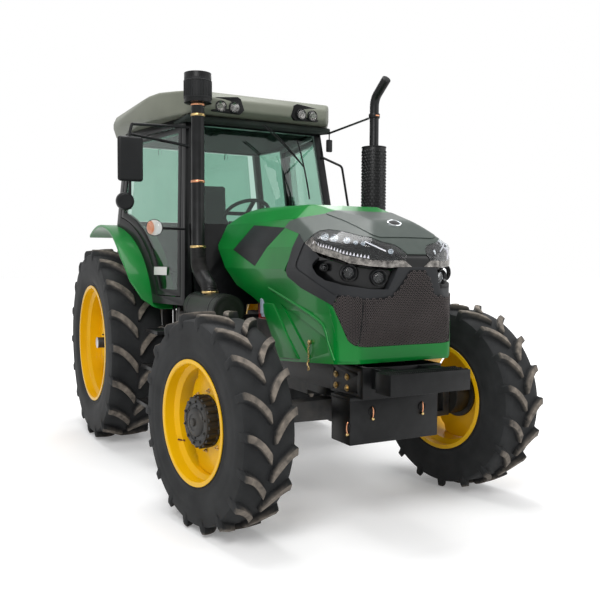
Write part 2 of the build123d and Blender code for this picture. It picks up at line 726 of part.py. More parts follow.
# Facets that narrow the nose, each through three (x, y, z) points of its left side.
NOSE_FACETS = [
    ((285, 24, 1962), (251, -500, 1808), (374, -500, 1746)),
    ((140, -508, 1855), (251, -500, 1808), (285, 24, 1962)),
    ((251, -500, 1808), (300, -600, 1743), (374, -500, 1746)),
]
VENT_OUTLINE = [(590, 1862), (75, 1826), (420, 1576), (815, 1690)]  # (y, z)
POCKET_OUTLINE = [(150, 1340), (-440, 1165), (-470, 1080), (-240, 1020)]  # (y, z)
POCKET_DEPTH = 10.0
NOSE_SIDE = [(-1000, 1390), (-585, 1381), (-25, 1549), (-209, 1789), (-12, 1831), (60, 2200), (-1000, 2200)]
LAMP_REAR = -230.0
HOOD_HINGE = (1086.0, 1950.0)  # (y, z) of the hinge line behind the crown's rear edge
HOOD_HINGE_X = 190.0
HOOD_PIN = 8.0


def mirrored_outline(half):
    """A closed outline from its right half, listed upwards or backwards."""
    return half + [(-x, v) for x, v in reversed(half)]


def beyond_facet(corners, inset):
    """Space outside the plane through three corners that turn about its outward side, moved in by inset."""
    first, second, third = (Vector(*corner) for corner in corners)
    along = second - first
    plane = Plane(origin=first, x_dir=along, z_dir=along.cross(third - first)).offset(-inset)
    return plane * Box(3000, 3000, 800, align=(Align.CENTER, Align.CENTER, Align.MIN))


def hood_form(inset, open_below):
    """Solid form of the hood, moved in by inset; below and behind it runs on by open_below."""
    front = [(y + inset, z) for y, z in NOSE_PROFILE]
    front[0] = (front[0][0], front[0][1] - open_below)
    top = [
        (CROWN_FRONT[0] + inset, CROWN_FRONT[1] - inset),
        (CROWN_REAR[0] + open_below, CROWN_REAR[1] - inset),
    ]
    if open_below:
        lower = [(SIDE_EDGE[0][0] + open_below, SIDE_EDGE[-1][1] - open_below)]
    else:
        lower = SIDE_EDGE
    side = slab_x(front + top + lower, -600, 600)
    section = [(x - inset, z - (inset if z > 1800 else 0)) for x, z in HALF_SECTION]
    section[0] = (section[0][0], section[0][1] - open_below)
    outline = Polyline(*section) + Polyline(*[(-x, z) for x, z in section])
    crown = ThreePointArc(section[-1], (0, CROWN_Z - inset), (-section[-1][0], section[-1][1]))
    base = Line(section[0], (-section[0][0], section[0][1]))
    plane = Plane(origin=(0, 1300, 0), x_dir=(1, 0, 0), z_dir=(0, -1, 0))
    across_form = extrude(plane * make_face(outline + crown + base), amount=2300)
    plan = slab_z(mirrored_outline([(x - inset, y + inset) for x, y in HALF_PLAN]), 700, 2300)
    form = side & across_form & plan
    for corners in NOSE_FACETS:
        form -= both(beyond_facet(corners, inset))
    return form


def hood_nodes():
    """Shell, side vents, nose, grille and headlamps, cut from one formed panel."""
    form = hood_form(0, 0)
    panel = form - hood_form(HOOD_WALL, 200)
    front_of = (-1000, LAMP_REAR)
    nose_zone = slab_x(NOSE_SIDE, -600, 600)
    grille_zone = slab_y(mirrored_outline(GRILLE_OUTLINE), *front_of)
    lamp_zone = both(slab_y(LAMP_OUTLINE, *front_of))
    vent_zone = both(slab_x(VENT_OUTLINE, 200, 600))
    pocket_zone = both(slab_x(POCKET_OUTLINE, 200, 600))
    pocket = (form & pocket_zone) - hood_form(POCKET_DEPTH, 200)
    nodes = {
        "hood_shell": panel - nose_zone - grille_zone - vent_zone - pocket,
        "hood_vents": panel & vent_zone,
        "hood_nose": panel & nose_zone,
        "grille": panel & grille_zone,
    }
    y, z = HOOD_HINGE
    lug_outline = [(y - 90, z + 34), (y - 24, z + 40), (y + 14, z + 8), (y + 12, z - 14), (y - 14, z - 14)]
    for low, high in ((HOOD_HINGE_X - 20, HOOD_HINGE_X - 7), (HOOD_HINGE_X + 7, HOOD_HINGE_X + 20)):
        lug = slab_x(lug_outline, low, high) - across(low - 1, high + 1, y, z, HOOD_PIN + RUNNING)
        nodes["hood_shell"] += both(lug)
    nodes["hood_nose"] -= grille_zone + lamp_zone
    nodes["headlights"] = (panel & lamp_zone) - grille_zone
    return nodes


# ---- Cab ----------------------------------------------------------------------------------------
def side_plane():
    """Outer face of the left cab side: local x runs back, local y runs up, z points outward."""
    taper = math.radians(CAB_PLAN_TAPER)
    lean = math.radians(CAB_TUMBLEHOME)
    outward = (math.cos(taper) * math.cos(lean), -math.sin(taper) * math.cos(lean), math.sin(lean))
    back = (math.sin(taper), math.cos(taper), 0)
    return Plane(origin=CAB_FOOT, x_dir=back, z_dir=outward)


# Cab side on its plane, (distance back, height) from the front pillar's foot.
SIDE_FRONT = [(-5, -130), (243, 1348)]
SIDE_REAR = 1310.0
SIDE_BOTTOM = -130.0
SIDE_TOP = 1348.0
HINGE_BACK = SIDE_REAR - PILLAR - 1.0  # door hinge line on the side plane
HINGE_OUT = 14.0
HINGE_PIN = 7.0
HINGE_BARREL = 13.0
HINGE_KNUCKLE = 22.0  # height of each of a hinge's three knuckles
HINGE_HEIGHTS = (740.0, 1190.0)


def side_outline(front, rear, bottom, top):
    """Outline on the side plane, each value the inset from the cab side's own edge."""
    (foot_x, foot_z), (head_x, head_z) = SIDE_FRONT
    slope = (head_x - foot_x) / (head_z - foot_z)
    low = SIDE_BOTTOM + bottom
    high = SIDE_TOP - top
    return [
        (foot_x + front + slope * (low - foot_z), low),
        (foot_x + front + slope * (high - foot_z), high),
        (SIDE_REAR - rear, high),
        (SIDE_REAR - rear, low),
    ]


def around_rear_axle(radius):
    """A disc about the rear axle, to cut arcs that run with the fender."""
    return across(-1300, 1300, WHEELBASE, REAR.tyre_radius, radius)


def hinge_piece(height, knuckle, toward):
    """One knuckle of a door hinge with its leaf; toward is 1 to the pillar and -1 to the door."""
    base = height + knuckle * (HINGE_KNUCKLE + 2)
    plane = side_plane()
    centre = Pos(HINGE_BACK, base, HINGE_OUT) * Rot(-90, 0, 0)
    barrel = Cylinder(HINGE_BARREL, HINGE_KNUCKLE, align=(Align.CENTER, Align.CENTER, Align.MIN))
    leaf = Pos(HINGE_BACK + toward * 18, base + HINGE_KNUCKLE / 2, HINGE_OUT / 2) * Box(
        36, HINGE_KNUCKLE, HINGE_OUT
    )
    return plane * (centre * barrel + leaf)


def hinge_pin(height, radius, overrun):
    """Pin of a door hinge through its three knuckles."""
    length = 3 * HINGE_KNUCKLE + 4 + 2 * overrun
    centre = Pos(HINGE_BACK, height - overrun, HINGE_OUT) * Rot(-90, 0, 0)
    return side_plane() * (centre * Cylinder(radius, length, align=(Align.CENTER, Align.CENTER, Align.MIN)))


def cab_side():
    """Left cab side: front pillar, door pillar, roof rail, sill and the strip over the fender."""
    plate = slab(side_plane(), side_outline(0, 0, 0, 0), -CAB_WALL)
    plate -= around_rear_axle(FENDER_RADIUS + FIT)
    opening = slab(
        side_plane().offset(10), side_outline(PILLAR, PILLAR, PILLAR, PILLAR), -CAB_WALL - 20
    )
    plate -= opening - around_rear_axle(FENDER_RADIUS + DOOR_ARC_CLEARANCE - DOOR_GAP)
    for height in HINGE_HEIGHTS:
        for knuckle in (0, 2):
            plate += hinge_piece(height, knuckle, 1)
        plate -= hinge_pin(height, HINGE_PIN + RUNNING, 1)
    return plate


def door_frame():
    """Left door: a flat ring in the opening of the cab side."""
    inset = PILLAR + DOOR_GAP
    ring = slab(side_plane(), side_outline(inset, inset, inset, inset), -DOOR_THICKNESS)
    ring -= around_rear_axle(FENDER_RADIUS + DOOR_ARC_CLEARANCE)
    hole = inset + DOOR_FRAME
    window = slab(side_plane().offset(10), side_outline(hole, hole, hole, hole), -DOOR_THICKNESS - 20)
    window -= around_rear_axle(FENDER_RADIUS + DOOR_ARC_CLEARANCE + DOOR_FRAME)
    ring -= window
    for height in HINGE_HEIGHTS:
        ring += hinge_piece(height, 1, -1) + hinge_pin(height, HINGE_PIN, 0)
    return ring


def door_glass():
    """Pane of the left door, in the middle of its frame's thickness."""
    inset = PILLAR + DOOR_GAP + DOOR_FRAME + FIT
    pane = slab(side_plane().offset(-12), side_outline(inset, inset, inset, inset), -GLASS)
    return pane - around_rear_axle(FENDER_RADIUS + DOOR_ARC_CLEARANCE + DOOR_FRAME + FIT)


FRONT_LEAN = 0.2  # backward lean of the windscreen, per unit of height
COWL_TOP = 1900.0
COWL_WALL = 40.0
QUARTER_FOOT_Z = REAR.tyre_radius + FENDER_RADIUS + FIT
CORNER_POST = 60.0
PILLAR_LEAN = (-82.0, 8.0, 780.0)  # run of the rear pillars from foot to head
DOOR_POST_FOOT = (852.0, 2478.0)
CORNER_POST_FOOT = (746.0, CAB_REAR - 35.0)


def windscreen_y(z):
    """Outer face of the windscreen at a height."""
    return CAB_FOOT[1] + FRONT_LEAN * (z - CAB_FOOT[2])


def pillar_place(foot, z):
    """Where a rear pillar's middle line passes height z."""
    share = (z - QUARTER_FOOT_Z) / PILLAR_LEAN[2]
    return (foot[0] + PILLAR_LEAN[0] * share, foot[1] + PILLAR_LEAN[1] * share, z)


def leaning_post(foot, z_low, z_high, size):
    """A square post that leans with the cab side."""
    start = pillar_place(foot, z_low)
    end = pillar_place(foot, z_high)
    lower = Pos(*start) * Rectangle(size, size)
    upper = Pos(*end) * Rectangle(size, size)
    return loft([lower, upper], ruled=True)


def cab_frame():
    """Welded cab: both sides, rear corners, cowl, floor, rear deck and cross rails."""
    body = both(cab_side())
    corner = leaning_post(CORNER_POST_FOOT, QUARTER_FOOT_Z, CAB_TOP, CORNER_POST)
    body += both(corner)
    shift = PILLAR_LEAN[0] * (CAB_TOP - QUARTER_FOOT_Z) / PILLAR_LEAN[2]
    for z_low, z_high, dx in ((QUARTER_FOOT_Z, QUARTER_FOOT_Z + 50, 0), (CAB_TOP - 50, CAB_TOP, shift)):
        rail = slab_z(
            [
                (DOOR_POST_FOOT[0] + dx, DOOR_POST_FOOT[1] - 25),
                (CORNER_POST_FOOT[0] + dx + 28, CORNER_POST_FOOT[1]),
                (CORNER_POST_FOOT[0] + dx - 20, CORNER_POST_FOOT[1]),
                (DOOR_POST_FOOT[0] + dx - 55, DOOR_POST_FOOT[1] - 25),
            ],
            z_low,
            z_high,
        )
        body += both(rail)
        rear_half = CORNER_POST_FOOT[0] + dx
        body += block((-rear_half, rear_half), (CAB_REAR - 60, CAB_REAR), (z_low, z_high))
    top_y = windscreen_y(CAB_TOP)
    body += block((-575, 575), (top_y - 2, top_y + 55), (CAB_TOP - 60, CAB_TOP))
    cowl = [
        (windscreen_y(CAB_FOOT[2]), CAB_FLOOR),
        (windscreen_y(CAB_FOOT[2]), CAB_FOOT[2]),
        (windscreen_y(COWL_TOP), COWL_TOP),
        (windscreen_y(COWL_TOP) + COWL_WALL, COWL_TOP),
        (windscreen_y(CAB_FOOT[2]) + COWL_WALL, CAB_FOOT[2]),
        (windscreen_y(CAB_FOOT[2]) + COWL_WALL, CAB_FLOOR),
    ]
    body += slab_x(cowl, -620, 620)
    deck_half = FENDER_INSIDE - FIT
    floor_rear = 1980.0
    floor_plan = [(690, 1192), (752, 1600), (deck_half, 1600), (deck_half, floor_rear)]
    body += slab_z(mirrored_outline(floor_plan), CAB_FLOOR, CAB_FLOOR + FLOOR_PLATE)
    deck_width = (-deck_half, deck_half)
    body += block(deck_width, (floor_rear - 30, floor_rear), (CAB_FLOOR, REAR_DECK + FLOOR_PLATE))
    body += block(deck_width, (floor_rear - 30, CAB_REAR), (REAR_DECK, REAR_DECK + FLOOR_PLATE))
    start, near, far, end = PANE_HINGE_X
    y, z = PANE_HINGE
    for low, high in ((start, near - 1), (far + 1, end)):
        lug = across(low, high, y, z, 10) + block((low, high), (CAB_REAR - 1, y), (z - 10, z + 10))
        body += both(lug)
    body -= both(across(start - 1, end + 1, y, z, PANE_PIN + RUNNING))
    hood_y, hood_z = HOOD_HINGE
    bracket = slab_x(
        [(hood_y - 14, hood_z - 12), (hood_y - 10, hood_z + 12), (hood_y + 12, hood_z + 12),
         (windscreen_y(COWL_TOP) + 5, COWL_TOP), (windscreen_y(1840) + 5, 1840)],
        HOOD_HINGE_X - 6, HOOD_HINGE_X + 6,
    )
    bracket += across(HOOD_HINGE_X - 30, HOOD_HINGE_X + 30, hood_y, hood_z, HOOD_PIN)
    arm = rod((650, 1310, SIGNAL_LAMP_Z), (SIGNAL_LAMP_X, 1240, SIGNAL_LAMP_Z), 10)
    arm -= rod((SIGNAL_LAMP_X, 1200, SIGNAL_LAMP_Z), (SIGNAL_LAMP_X, 1280, SIGNAL_LAMP_Z), 45)
    body += both(bracket + arm)
    return body + block(deck_width, (CAB_REAR - 30, CAB_REAR), (REAR_DECK, QUARTER_FOOT_Z + 10))


def quarter_pane():
    """Left pane between the door's post and the rear corner post."""
    low = QUARTER_FOOT_Z + 50 + FIT
    high = CAB_TOP - 50 - FIT
    door_low, door_high = (Vector(*pillar_place(DOOR_POST_FOOT, z)) for z in (low, high))
    corner_low, corner_high = (Vector(*pillar_place(CORNER_POST_FOOT, z)) for z in (low, high))
    outline = Polyline(door_low, corner_low, corner_high, door_high, close=True)
    pane = extrude(make_face(outline), amount=GLASS / 2, both=True)
    pane -= leaning_post(CORNER_POST_FOOT, low - 20, high + 20, CORNER_POST + 2 * FIT)
    edge = SIDE_REAR + FIT
    zone = [(edge - 400, SIDE_BOTTOM), (edge, SIDE_BOTTOM), (edge, SIDE_TOP), (edge - 400, SIDE_TOP)]
    return pane - slab(side_plane().offset(150), zone, -400)


def cab_glass():
    """Windscreen and the two quarter panes."""
    low, high = COWL_TOP + FIT, CAB_TOP - 60 - FIT
    face = [
        (windscreen_y(low) + 14, low),
        (windscreen_y(high) + 14, high),
        (windscreen_y(high) + 14 + GLASS, high),
        (windscreen_y(low) + 14 + GLASS, low),
    ]
    pane = slab_x(face, -640, 640)
    taper = slab_y([(-590, low), (590, low), (532, high), (-532, high)], 1200, 1600)
    return (pane & taper) + both(quarter_pane())


PANE_HINGE = (CAB_REAR + 10.0, CAB_TOP - 36.0)  # (y, z) of the rear pane's hinge line
PANE_HINGE_X = (300.0, 330.0, 360.0, 390.0)  # edges of the three knuckles
PANE_PIN = 5.0


def rear_window():
    """Rear pane, hung from two hinges on the rear rail."""
    low, high = QUARTER_FOOT_Z + 50 + GAP, CAB_TOP - 50 - GAP
    face = CAB_REAR - 20
    pane = slab_y([(-640, low), (640, low), (575, high), (-575, high)], face, face + GLASS)
    y, z = PANE_HINGE
    start, near, far, end = PANE_HINGE_X
    hinge = across(near + 1, far - 1, y, z, 10) + across(start, end, y, z, PANE_PIN)
    hinge += block((near + 1, far - 1), (face + GLASS, y + 10), (high - 50, high - 6))
    hinge += block((near + 1, far - 1), (y + 2, y + 10), (high - 50, z))
    return pane + both(hinge)


ROOF_FRONT = 1222.0
ROOF_REAR = CAB_REAR + 45.0
ROOF_TOP = CAB_TOP + 245.0
# Half plan of the roof, (x, y) from the front corner back.
ROOF_PLAN = [
    (530, ROOF_FRONT), (600, 1300), (690, 1480), (800, 1800), (865, 2400), (860, 2700), (740, ROOF_REAR),
]
# Half section of the roof, (x, height over the cab's top).
ROOF_SECTION = [(800, 0), (865, 55), (865, 115), (800, 200), (560, 245)]


def cab_roof():
    """Moulded roof with an overhang all round and bevelled edges."""
    side = [
        (ROOF_FRONT, CAB_TOP + 30),
        (ROOF_FRONT, CAB_TOP + 115),
        (1320, CAB_TOP + 178),
        (1900, CAB_TOP + 230),
        (CAB_REAR - 290, ROOF_TOP),
        (CAB_REAR - 40, CAB_TOP + 215),
        (ROOF_REAR, CAB_TOP + 145),
        (ROOF_REAR, CAB_TOP + 95),
        (CAB_REAR - 80, CAB_TOP),
        (1380, CAB_TOP),
    ]
    section = [(x, CAB_TOP + height) for x, height in ROOF_SECTION]
    body = slab_x(side, -900, 900)
    body &= slab_y(mirrored_outline(section), ROOF_FRONT - 100, ROOF_REAR + 100)
    return body & slab_z(mirrored_outline(ROOF_PLAN), CAB_TOP - 50, ROOF_TOP + 50)


def seat():
    """Seat on its pedestal: cushion, back and arm rests' block."""
    body = block((-180, 180), (2150, 2500), (REAR_DECK + FLOOR_PLATE, 1700))
    body += block((-250, 250), (2080, 2560), (1700, 1820))
    back = slab_x([(2480, 1820), (2570, 1820), (2650, 2380), (2570, 2380)], -230, 230)
    return body + back


def dashboard():
    """Console behind the cowl with its steering column and wheel."""
    foot = windscreen_y(CAB_FOOT[2]) + COWL_WALL + FIT
    console = slab_x(
        [
            (foot, CAB_FLOOR + FLOOR_PLATE),
            (1480, CAB_FLOOR + FLOOR_PLATE),
            (1520, 1850),
            (1400, 1930),
            (windscreen_y(1850) + COWL_WALL + FIT, 1850),
            (foot, CAB_FOOT[2]),
        ],
        -260,
        260,
    )
    hub = Plane(origin=(0, 1640, 2010), z_dir=(0, 0.55, 0.84))
    column = rod((0, 1460, 1720), (0, 1640, 2010), 28)
    ring = hub * Torus(190, 15)
    spokes = hub * (Box(380, 34, 14) + Box(34, 380, 14))
    return console + column + ring + spokes


# ---- Fenders, lamps, mirrors and steps ----------------------------------------------------------
FENDER_TIP_Z = 1217.0
FENDER_LIP_Y = WHEELBASE + 410.0
# Front view of the fender's outer edge, (x, z) down to its tip.
FENDER_EDGE = [(FENDER_OUTSIDE + 1, 1640), (965, 1440), (890, 1300), (800, 1235), (740, FENDER_TIP_Z - 1),
               (FENDER_OUTSIDE + 1, FENDER_TIP_Z - 1)]


def fender():
    """Left fender: arched sheet over the rear tyre with its inner wall."""
    axle = (WHEELBASE, REAR.tyre_radius)
    arch = across(FENDER_INSIDE, FENDER_OUTSIDE, *axle, FENDER_RADIUS)
    arch -= across(FENDER_INSIDE + FENDER_SHEET, FENDER_OUTSIDE + 1, *axle, FENDER_RADIUS - FENDER_SHEET)
    front = WHEELBASE - FENDER_RADIUS - 100
    keep = [
        (front, FENDER_TIP_Z), (WHEELBASE - 200, FENDER_TIP_Z), (FENDER_LIP_Y, 1780), (FENDER_LIP_Y, 2100),
        (front, 2100),
    ]
    arch &= slab_x(keep, FENDER_INSIDE - 1, FENDER_OUTSIDE + 1)
    return arch - slab_y(FENDER_EDGE, front, WHEELBASE - 400)


def lamps():
    """Work lamps on the roof's front edge and signal lamps on brackets at the front pillars."""
    pod = block((250, 480), (1182, 1222), (2798, 2862))
    signal = rod((SIGNAL_LAMP_X, 1215, SIGNAL_LAMP_Z), (SIGNAL_LAMP_X, 1265, SIGNAL_LAMP_Z), 45)
    return both(pod + signal)


MIRROR_X = 1092.0
MIRROR_Y = 1300.0
MIRROR_ARM = 11.0
RAIL_RADIUS = 10.0
STAY_RADIUS = 9.0
STAY_BALL = 12.0
STAY_KNEE = (664.0, 1395.0, 2708.0)
STEPS_REAR = WHEELBASE - REAR.tyre_radius - 182.0
STEPS_LENGTH = 310.0
STEPS_INSIDE = 640.0
STEP_TREADS = [(480, 960), (760, 920), (1040, 880)]  # (height, reach) of each tread


def mirrors():
    """Right mirror with its round wide-angle mirror on two arms, and the left side's small mirror."""
    bend = [(-MIRROR_X + 20, MIRROR_Y, 2625), (-MIRROR_X, MIRROR_Y, 2560), (-MIRROR_X, MIRROR_Y, 1990)]
    upright = piped(FilletPolyline(*bend, radius=40), MIRROR_ARM)
    upper = rod((-MIRROR_X + 22, MIRROR_Y, 2618), (-590, MIRROR_Y + 125, 2655), MIRROR_ARM)
    lower = rod((-MIRROR_X, MIRROR_Y, 2545), (-590, MIRROR_Y + 110, 2505), MIRROR_ARM)
    head = block((-1184, -999), (1262, 1312), (2196, 2523))
    small = rod((-1130, 1265, 2048), (-1130, 1305, 2048), 68)
    x, y, z = STAY_KNEE
    hanger = rod((x, y, z - 70), (x, y, z), 5) - Pos(x, y, z) * Sphere(STAY_BALL + FIT)
    box = block((x - 26, x + 26), (y - 15, y + 15), (z - 160, z - 55))
    return (upright + upper + lower + head + small - mirrored(cab_side())) + (hanger + box)


def grab_rails():
    """Left handrail beside the door and the stay from the exhaust's clamp to the cab's top corner."""
    bends = [(600, 1405, 2500), (735, 1300, 2420), (862, 1305, 1790), (650, 1250, 1700)]
    rail = piped(FilletPolyline(*bends, radius=45), RAIL_RADIUS)
    stay = rod((EXHAUST_X, EXHAUST_Y, CLAMP_Z), STAY_KNEE, STAY_RADIUS)
    stay += rod(STAY_KNEE, (590, 1440, 2700), STAY_RADIUS) + Pos(*STAY_KNEE) * Sphere(STAY_BALL)
    low, high = CLAMP_Z - 16, CLAMP_Z + 16
    clamp = rod((EXHAUST_X, EXHAUST_Y, low), (EXHAUST_X, EXHAUST_Y, high), TAIL_RADIUS + 8)
    pipe = rod((EXHAUST_X, EXHAUST_Y, low - 20), (EXHAUST_X, EXHAUST_Y, high + 20), TAIL_RADIUS + FIT)
    return (rail - cab_side()) + (stay + clamp - pipe - cab_side())


def cab_steps():
    """Three-tread ladders under both doors, hung from the cab floor."""
    front = STEPS_REAR - STEPS_LENGTH
    foot = STEP_TREADS[0][0] - 10
    body = None
    for y in (front, STEPS_REAR - 40):
        hanger = block((STEPS_INSIDE, STEPS_INSIDE + 12), (y, y + 40), (foot, CAB_FLOOR))
        body = hanger if body is None else body + hanger
    for z, reach in STEP_TREADS:
        body += block((STEPS_INSIDE, reach), (front, STEPS_REAR), (z, z + 30))
    return both(body)


# ---- Rear linkage -------------------------------------------------------------------------------
LINK_PIVOT = (2870.0, 520.0)  # (y, z) of the lower links' front pins
LINK_PIVOT_X = 245.0
LINK_EYE_X = 410.0
LINK_EYE_RADIUS = 45.0
LINK_BORE = 14.3
LINK_DROP = 60.0
LIFT_ARM = 330.0
LIFT_PIN = 12.0
LIFT_ARM_X = 245.0


def link_end():
    """(y, z) of the lower links' rear eyes."""
    return WHEELBASE + REAR_OVERHANG - LINK_EYE_RADIUS, LINK_PIVOT[1] - LINK_DROP


def lift_vector():
    """(y, z) run from the lower link's pivot to the lift rod's pin; the lift arm is parallel."""
    run = (link_end()[0] - LINK_PIVOT[0], -LINK_DROP)
    share = LIFT_ARM / math.hypot(*run)
    return run[0] * share, run[1] * share


def lower_links():
    """Both lower links: front eye, bar, lift-rod pin and rear ball eye."""
    end = link_end()
    bar = flat_bar((LINK_PIVOT_X, *LINK_PIVOT), (LINK_EYE_X, *end), 24, 70)
    front = across(LINK_PIVOT_X - 25, LINK_PIVOT_X + 25, *LINK_PIVOT, 45)
    rear = across(LINK_EYE_X - 25, LINK_EYE_X + 25, *end, LINK_EYE_RADIUS)
    run = lift_vector()
    pin_at = (LINK_PIVOT[0] + run[0], LINK_PIVOT[1] + run[1])
    share = run[0] / (end[0] - LINK_PIVOT[0])
    x = LINK_PIVOT_X + share * (LINK_EYE_X - LINK_PIVOT_X)
    pin = across(x, x + 80, *pin_at, LIFT_PIN)
    body = bar + front + rear + pin
    body -= across(LINK_PIVOT_X - 30, LINK_PIVOT_X + 30, *LINK_PIVOT, 20 + RUNNING)
    body -= across(LINK_EYE_X - 30, LINK_EYE_X + 30, *end, LINK_BORE)
    return both(body)


def lift_rods():
    """Upright lift rods between the lower links and the lift arms."""
    run = lift_vector()
    low = (LINK_PIVOT[0] + run[0], LINK_PIVOT[1] + run[1])
    high = (ROCKSHAFT[0] + run[0], ROCKSHAFT[1] + run[1])
    x = LINK_PIVOT_X + (LINK_EYE_X - LINK_PIVOT_X) * run[0] / (link_end()[0] - LINK_PIVOT[0]) + 50
    body = rod((x, *low), (x, *high), 16)
    body += across(x - 20, x + 20, *low, 30) + across(x - 20, x + 20, *high, 30)
    body -= across(x - 30, x + 50, *low, LIFT_PIN + RUNNING)
    body -= across(x - 60, x + 30, *high, LIFT_PIN + 2)
    return both(body)


def lift_arms():
    """Rockshaft with both lift arms and their pins."""
    run = lift_vector()
    tip = (ROCKSHAFT[0] + run[0], ROCKSHAFT[1] + run[1])
    arm = flat_bar((LIFT_ARM_X, *ROCKSHAFT), (LIFT_ARM_X, *tip), 30, 60)
    arm += across(LIFT_ARM_X - 15, LIFT_ARM_X + 15, *ROCKSHAFT, 55)
    arm += across(LIFT_ARM_X - 15, LIFT_ARM_X + 15, *tip, 34)
    x = LINK_PIVOT_X + (LINK_EYE_X - LINK_PIVOT_X) * run[0] / (link_end()[0] - LINK_PIVOT[0]) + 50
    arm += across(LIFT_ARM_X, x + 20, *tip, LIFT_PIN)
    return both(arm) + across(-LIFT_ARM_X, LIFT_ARM_X, *ROCKSHAFT, ROCKSHAFT_RADIUS)


DRAWBAR_FRONT = 2300.0
DRAWBAR_END = TRANSMISSION_REAR + 370.0
DRAWBAR_Z = 430.0
DRAWBAR_HEIGHT = 40.0
HITCH_HOLE_RADIUS = 16.0
HITCH_HOLE_INSET = 50.0


def drawbar():
    """Swinging drawbar under the rear casting with its hitch-pin hole, and the link pins' brackets."""
    top = DRAWBAR_Z + DRAWBAR_HEIGHT
    body = block((-40, 40), (DRAWBAR_FRONT, DRAWBAR_END), (DRAWBAR_Z, top))
    for low, high in ((DRAWBAR_FRONT + 20, DRAWBAR_FRONT + 100), (DRAWBAR_END - 470, DRAWBAR_END - 380)):
        body += block((-75, 75), (low, high), (DRAWBAR_Z - 10, TRANSMISSION_BOTTOM - FIT))
    hole = DRAWBAR_END - HITCH_HOLE_INSET
    body -= rod((0, hole, DRAWBAR_Z - 10), (0, hole, top + 10), HITCH_HOLE_RADIUS)
    pin_y, pin_z = LINK_PIVOT
    bracket = block((150, 190), (pin_y - 60, pin_y + 60), (top, TRANSMISSION_BOTTOM - FIT))
    bracket += block((70, 190), (pin_y - 60, pin_y + 60), (top, top + 30))
    bracket += across(150, LINK_PIVOT_X + 40, pin_y, pin_z, 20)
    return body + both(bracket)


# ---- Export -------------------------------------------------------------------------------------
def all_nodes():
    """Every sub-part by node name, drawn from the front axle."""
    nodes = {
        "front_frame": front_frame(),
        "front_axle": front_axle(),
        "engine_block": engine_block(),
        "transmission": transmission(),
        "rear_axle": rear_axle(),
        "cab_mounts": cab_mounts(),
        "fuel_tank": fuel_tank(),
        "front_step": front_step(),
        "battery_box": battery_box(),
        "air_intake": air_intake(),
        "exhaust_stack": exhaust_stack(),
        "cab_frame": cab_frame(),
        "cab_glass": cab_glass(),
        "cab_roof": cab_roof(),
        "rear_window": rear_window(),
        "seat": seat(),
        "dashboard": dashboard(),
        "fender_left": fender(),
        "fender_right": mirrored(fender()),
        "lamps": lamps(),
        "mirrors": mirrors(),
        "grab_rails": grab_rails(),
        "cab_steps": cab_steps(),
        "door_frame_left": door_frame(),
        "door_frame_right": mirrored(door_frame()),
        "door_glass_left": door_glass(),
        "door_glass_right": mirrored(door_glass()),
        "track_rod": track_rod(),
        "lower_links": lower_links(),
        "lift_rods": lift_rods(),
        "lift_arms": lift_arms(),
        "drawbar": drawbar(),
    }
    nodes.update(hood_nodes())
    nodes.update(knuckle_nodes())
    nodes.update(wheel_nodes())
    return nodes


MIDDLE_Y = (WHEELBASE + REAR_OVERHANG - FRONT_OVERHANG) / 2


def export_all():
    """Writes one STEP file per node, with the origin on the ground under the middle of the part."""
    os.makedirs("parts", exist_ok=True)
    for name, shape in all_nodes().items():
        export_step(Pos(0, -MIDDLE_Y, 0) * shape, f"parts/{name}.step")


if __name__ == "__main__":
    export_all()
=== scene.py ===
import json
import logging
import math
from contextlib import contextmanager
from dataclasses import dataclass, field
from enum import Enum
from typing import Iterable, Iterator, Sequence

import bmesh
import bpy
from mathutils import Matrix, Vector
from mathutils.bvhtree import BVHTree

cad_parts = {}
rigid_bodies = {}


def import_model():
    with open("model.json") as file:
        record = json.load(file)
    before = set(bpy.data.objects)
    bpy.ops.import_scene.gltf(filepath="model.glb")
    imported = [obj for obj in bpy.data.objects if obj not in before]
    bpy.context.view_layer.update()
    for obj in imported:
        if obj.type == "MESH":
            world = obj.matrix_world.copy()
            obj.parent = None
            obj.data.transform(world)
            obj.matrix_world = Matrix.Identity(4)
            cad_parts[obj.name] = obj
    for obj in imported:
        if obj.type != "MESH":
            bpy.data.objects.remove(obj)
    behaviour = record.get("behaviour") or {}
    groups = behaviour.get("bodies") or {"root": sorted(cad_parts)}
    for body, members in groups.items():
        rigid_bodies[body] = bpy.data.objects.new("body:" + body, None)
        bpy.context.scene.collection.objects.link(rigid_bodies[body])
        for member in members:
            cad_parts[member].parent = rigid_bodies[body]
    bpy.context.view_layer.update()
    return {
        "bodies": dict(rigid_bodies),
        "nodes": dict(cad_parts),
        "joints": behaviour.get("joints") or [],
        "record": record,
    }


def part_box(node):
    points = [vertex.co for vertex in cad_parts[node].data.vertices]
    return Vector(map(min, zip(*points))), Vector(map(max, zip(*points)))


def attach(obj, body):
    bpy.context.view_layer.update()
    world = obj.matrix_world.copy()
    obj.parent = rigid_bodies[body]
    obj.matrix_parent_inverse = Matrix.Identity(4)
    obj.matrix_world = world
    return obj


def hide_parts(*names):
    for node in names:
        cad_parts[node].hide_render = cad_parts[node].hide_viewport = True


LOG = logging.getLogger("tractor")
MM = 0.001
Point = tuple[float, float, float]
Piece = bpy.types.Object
Tree = bpy.types.NodeTree
Node = bpy.types.Node
Socket = bpy.types.NodeSocket
WHITE = (1.0, 1.0, 1.0, 1.0)
SIDES = (("right", -1.0), ("left", 1.0))  # name, and sign of x
HERE = Matrix.Identity(4)
TYRE_SEGMENTS = 108
RIM_SEGMENTS = 128
RAY_LENGTH = 3.0  # metres from a surface's centre to well outside the tractor


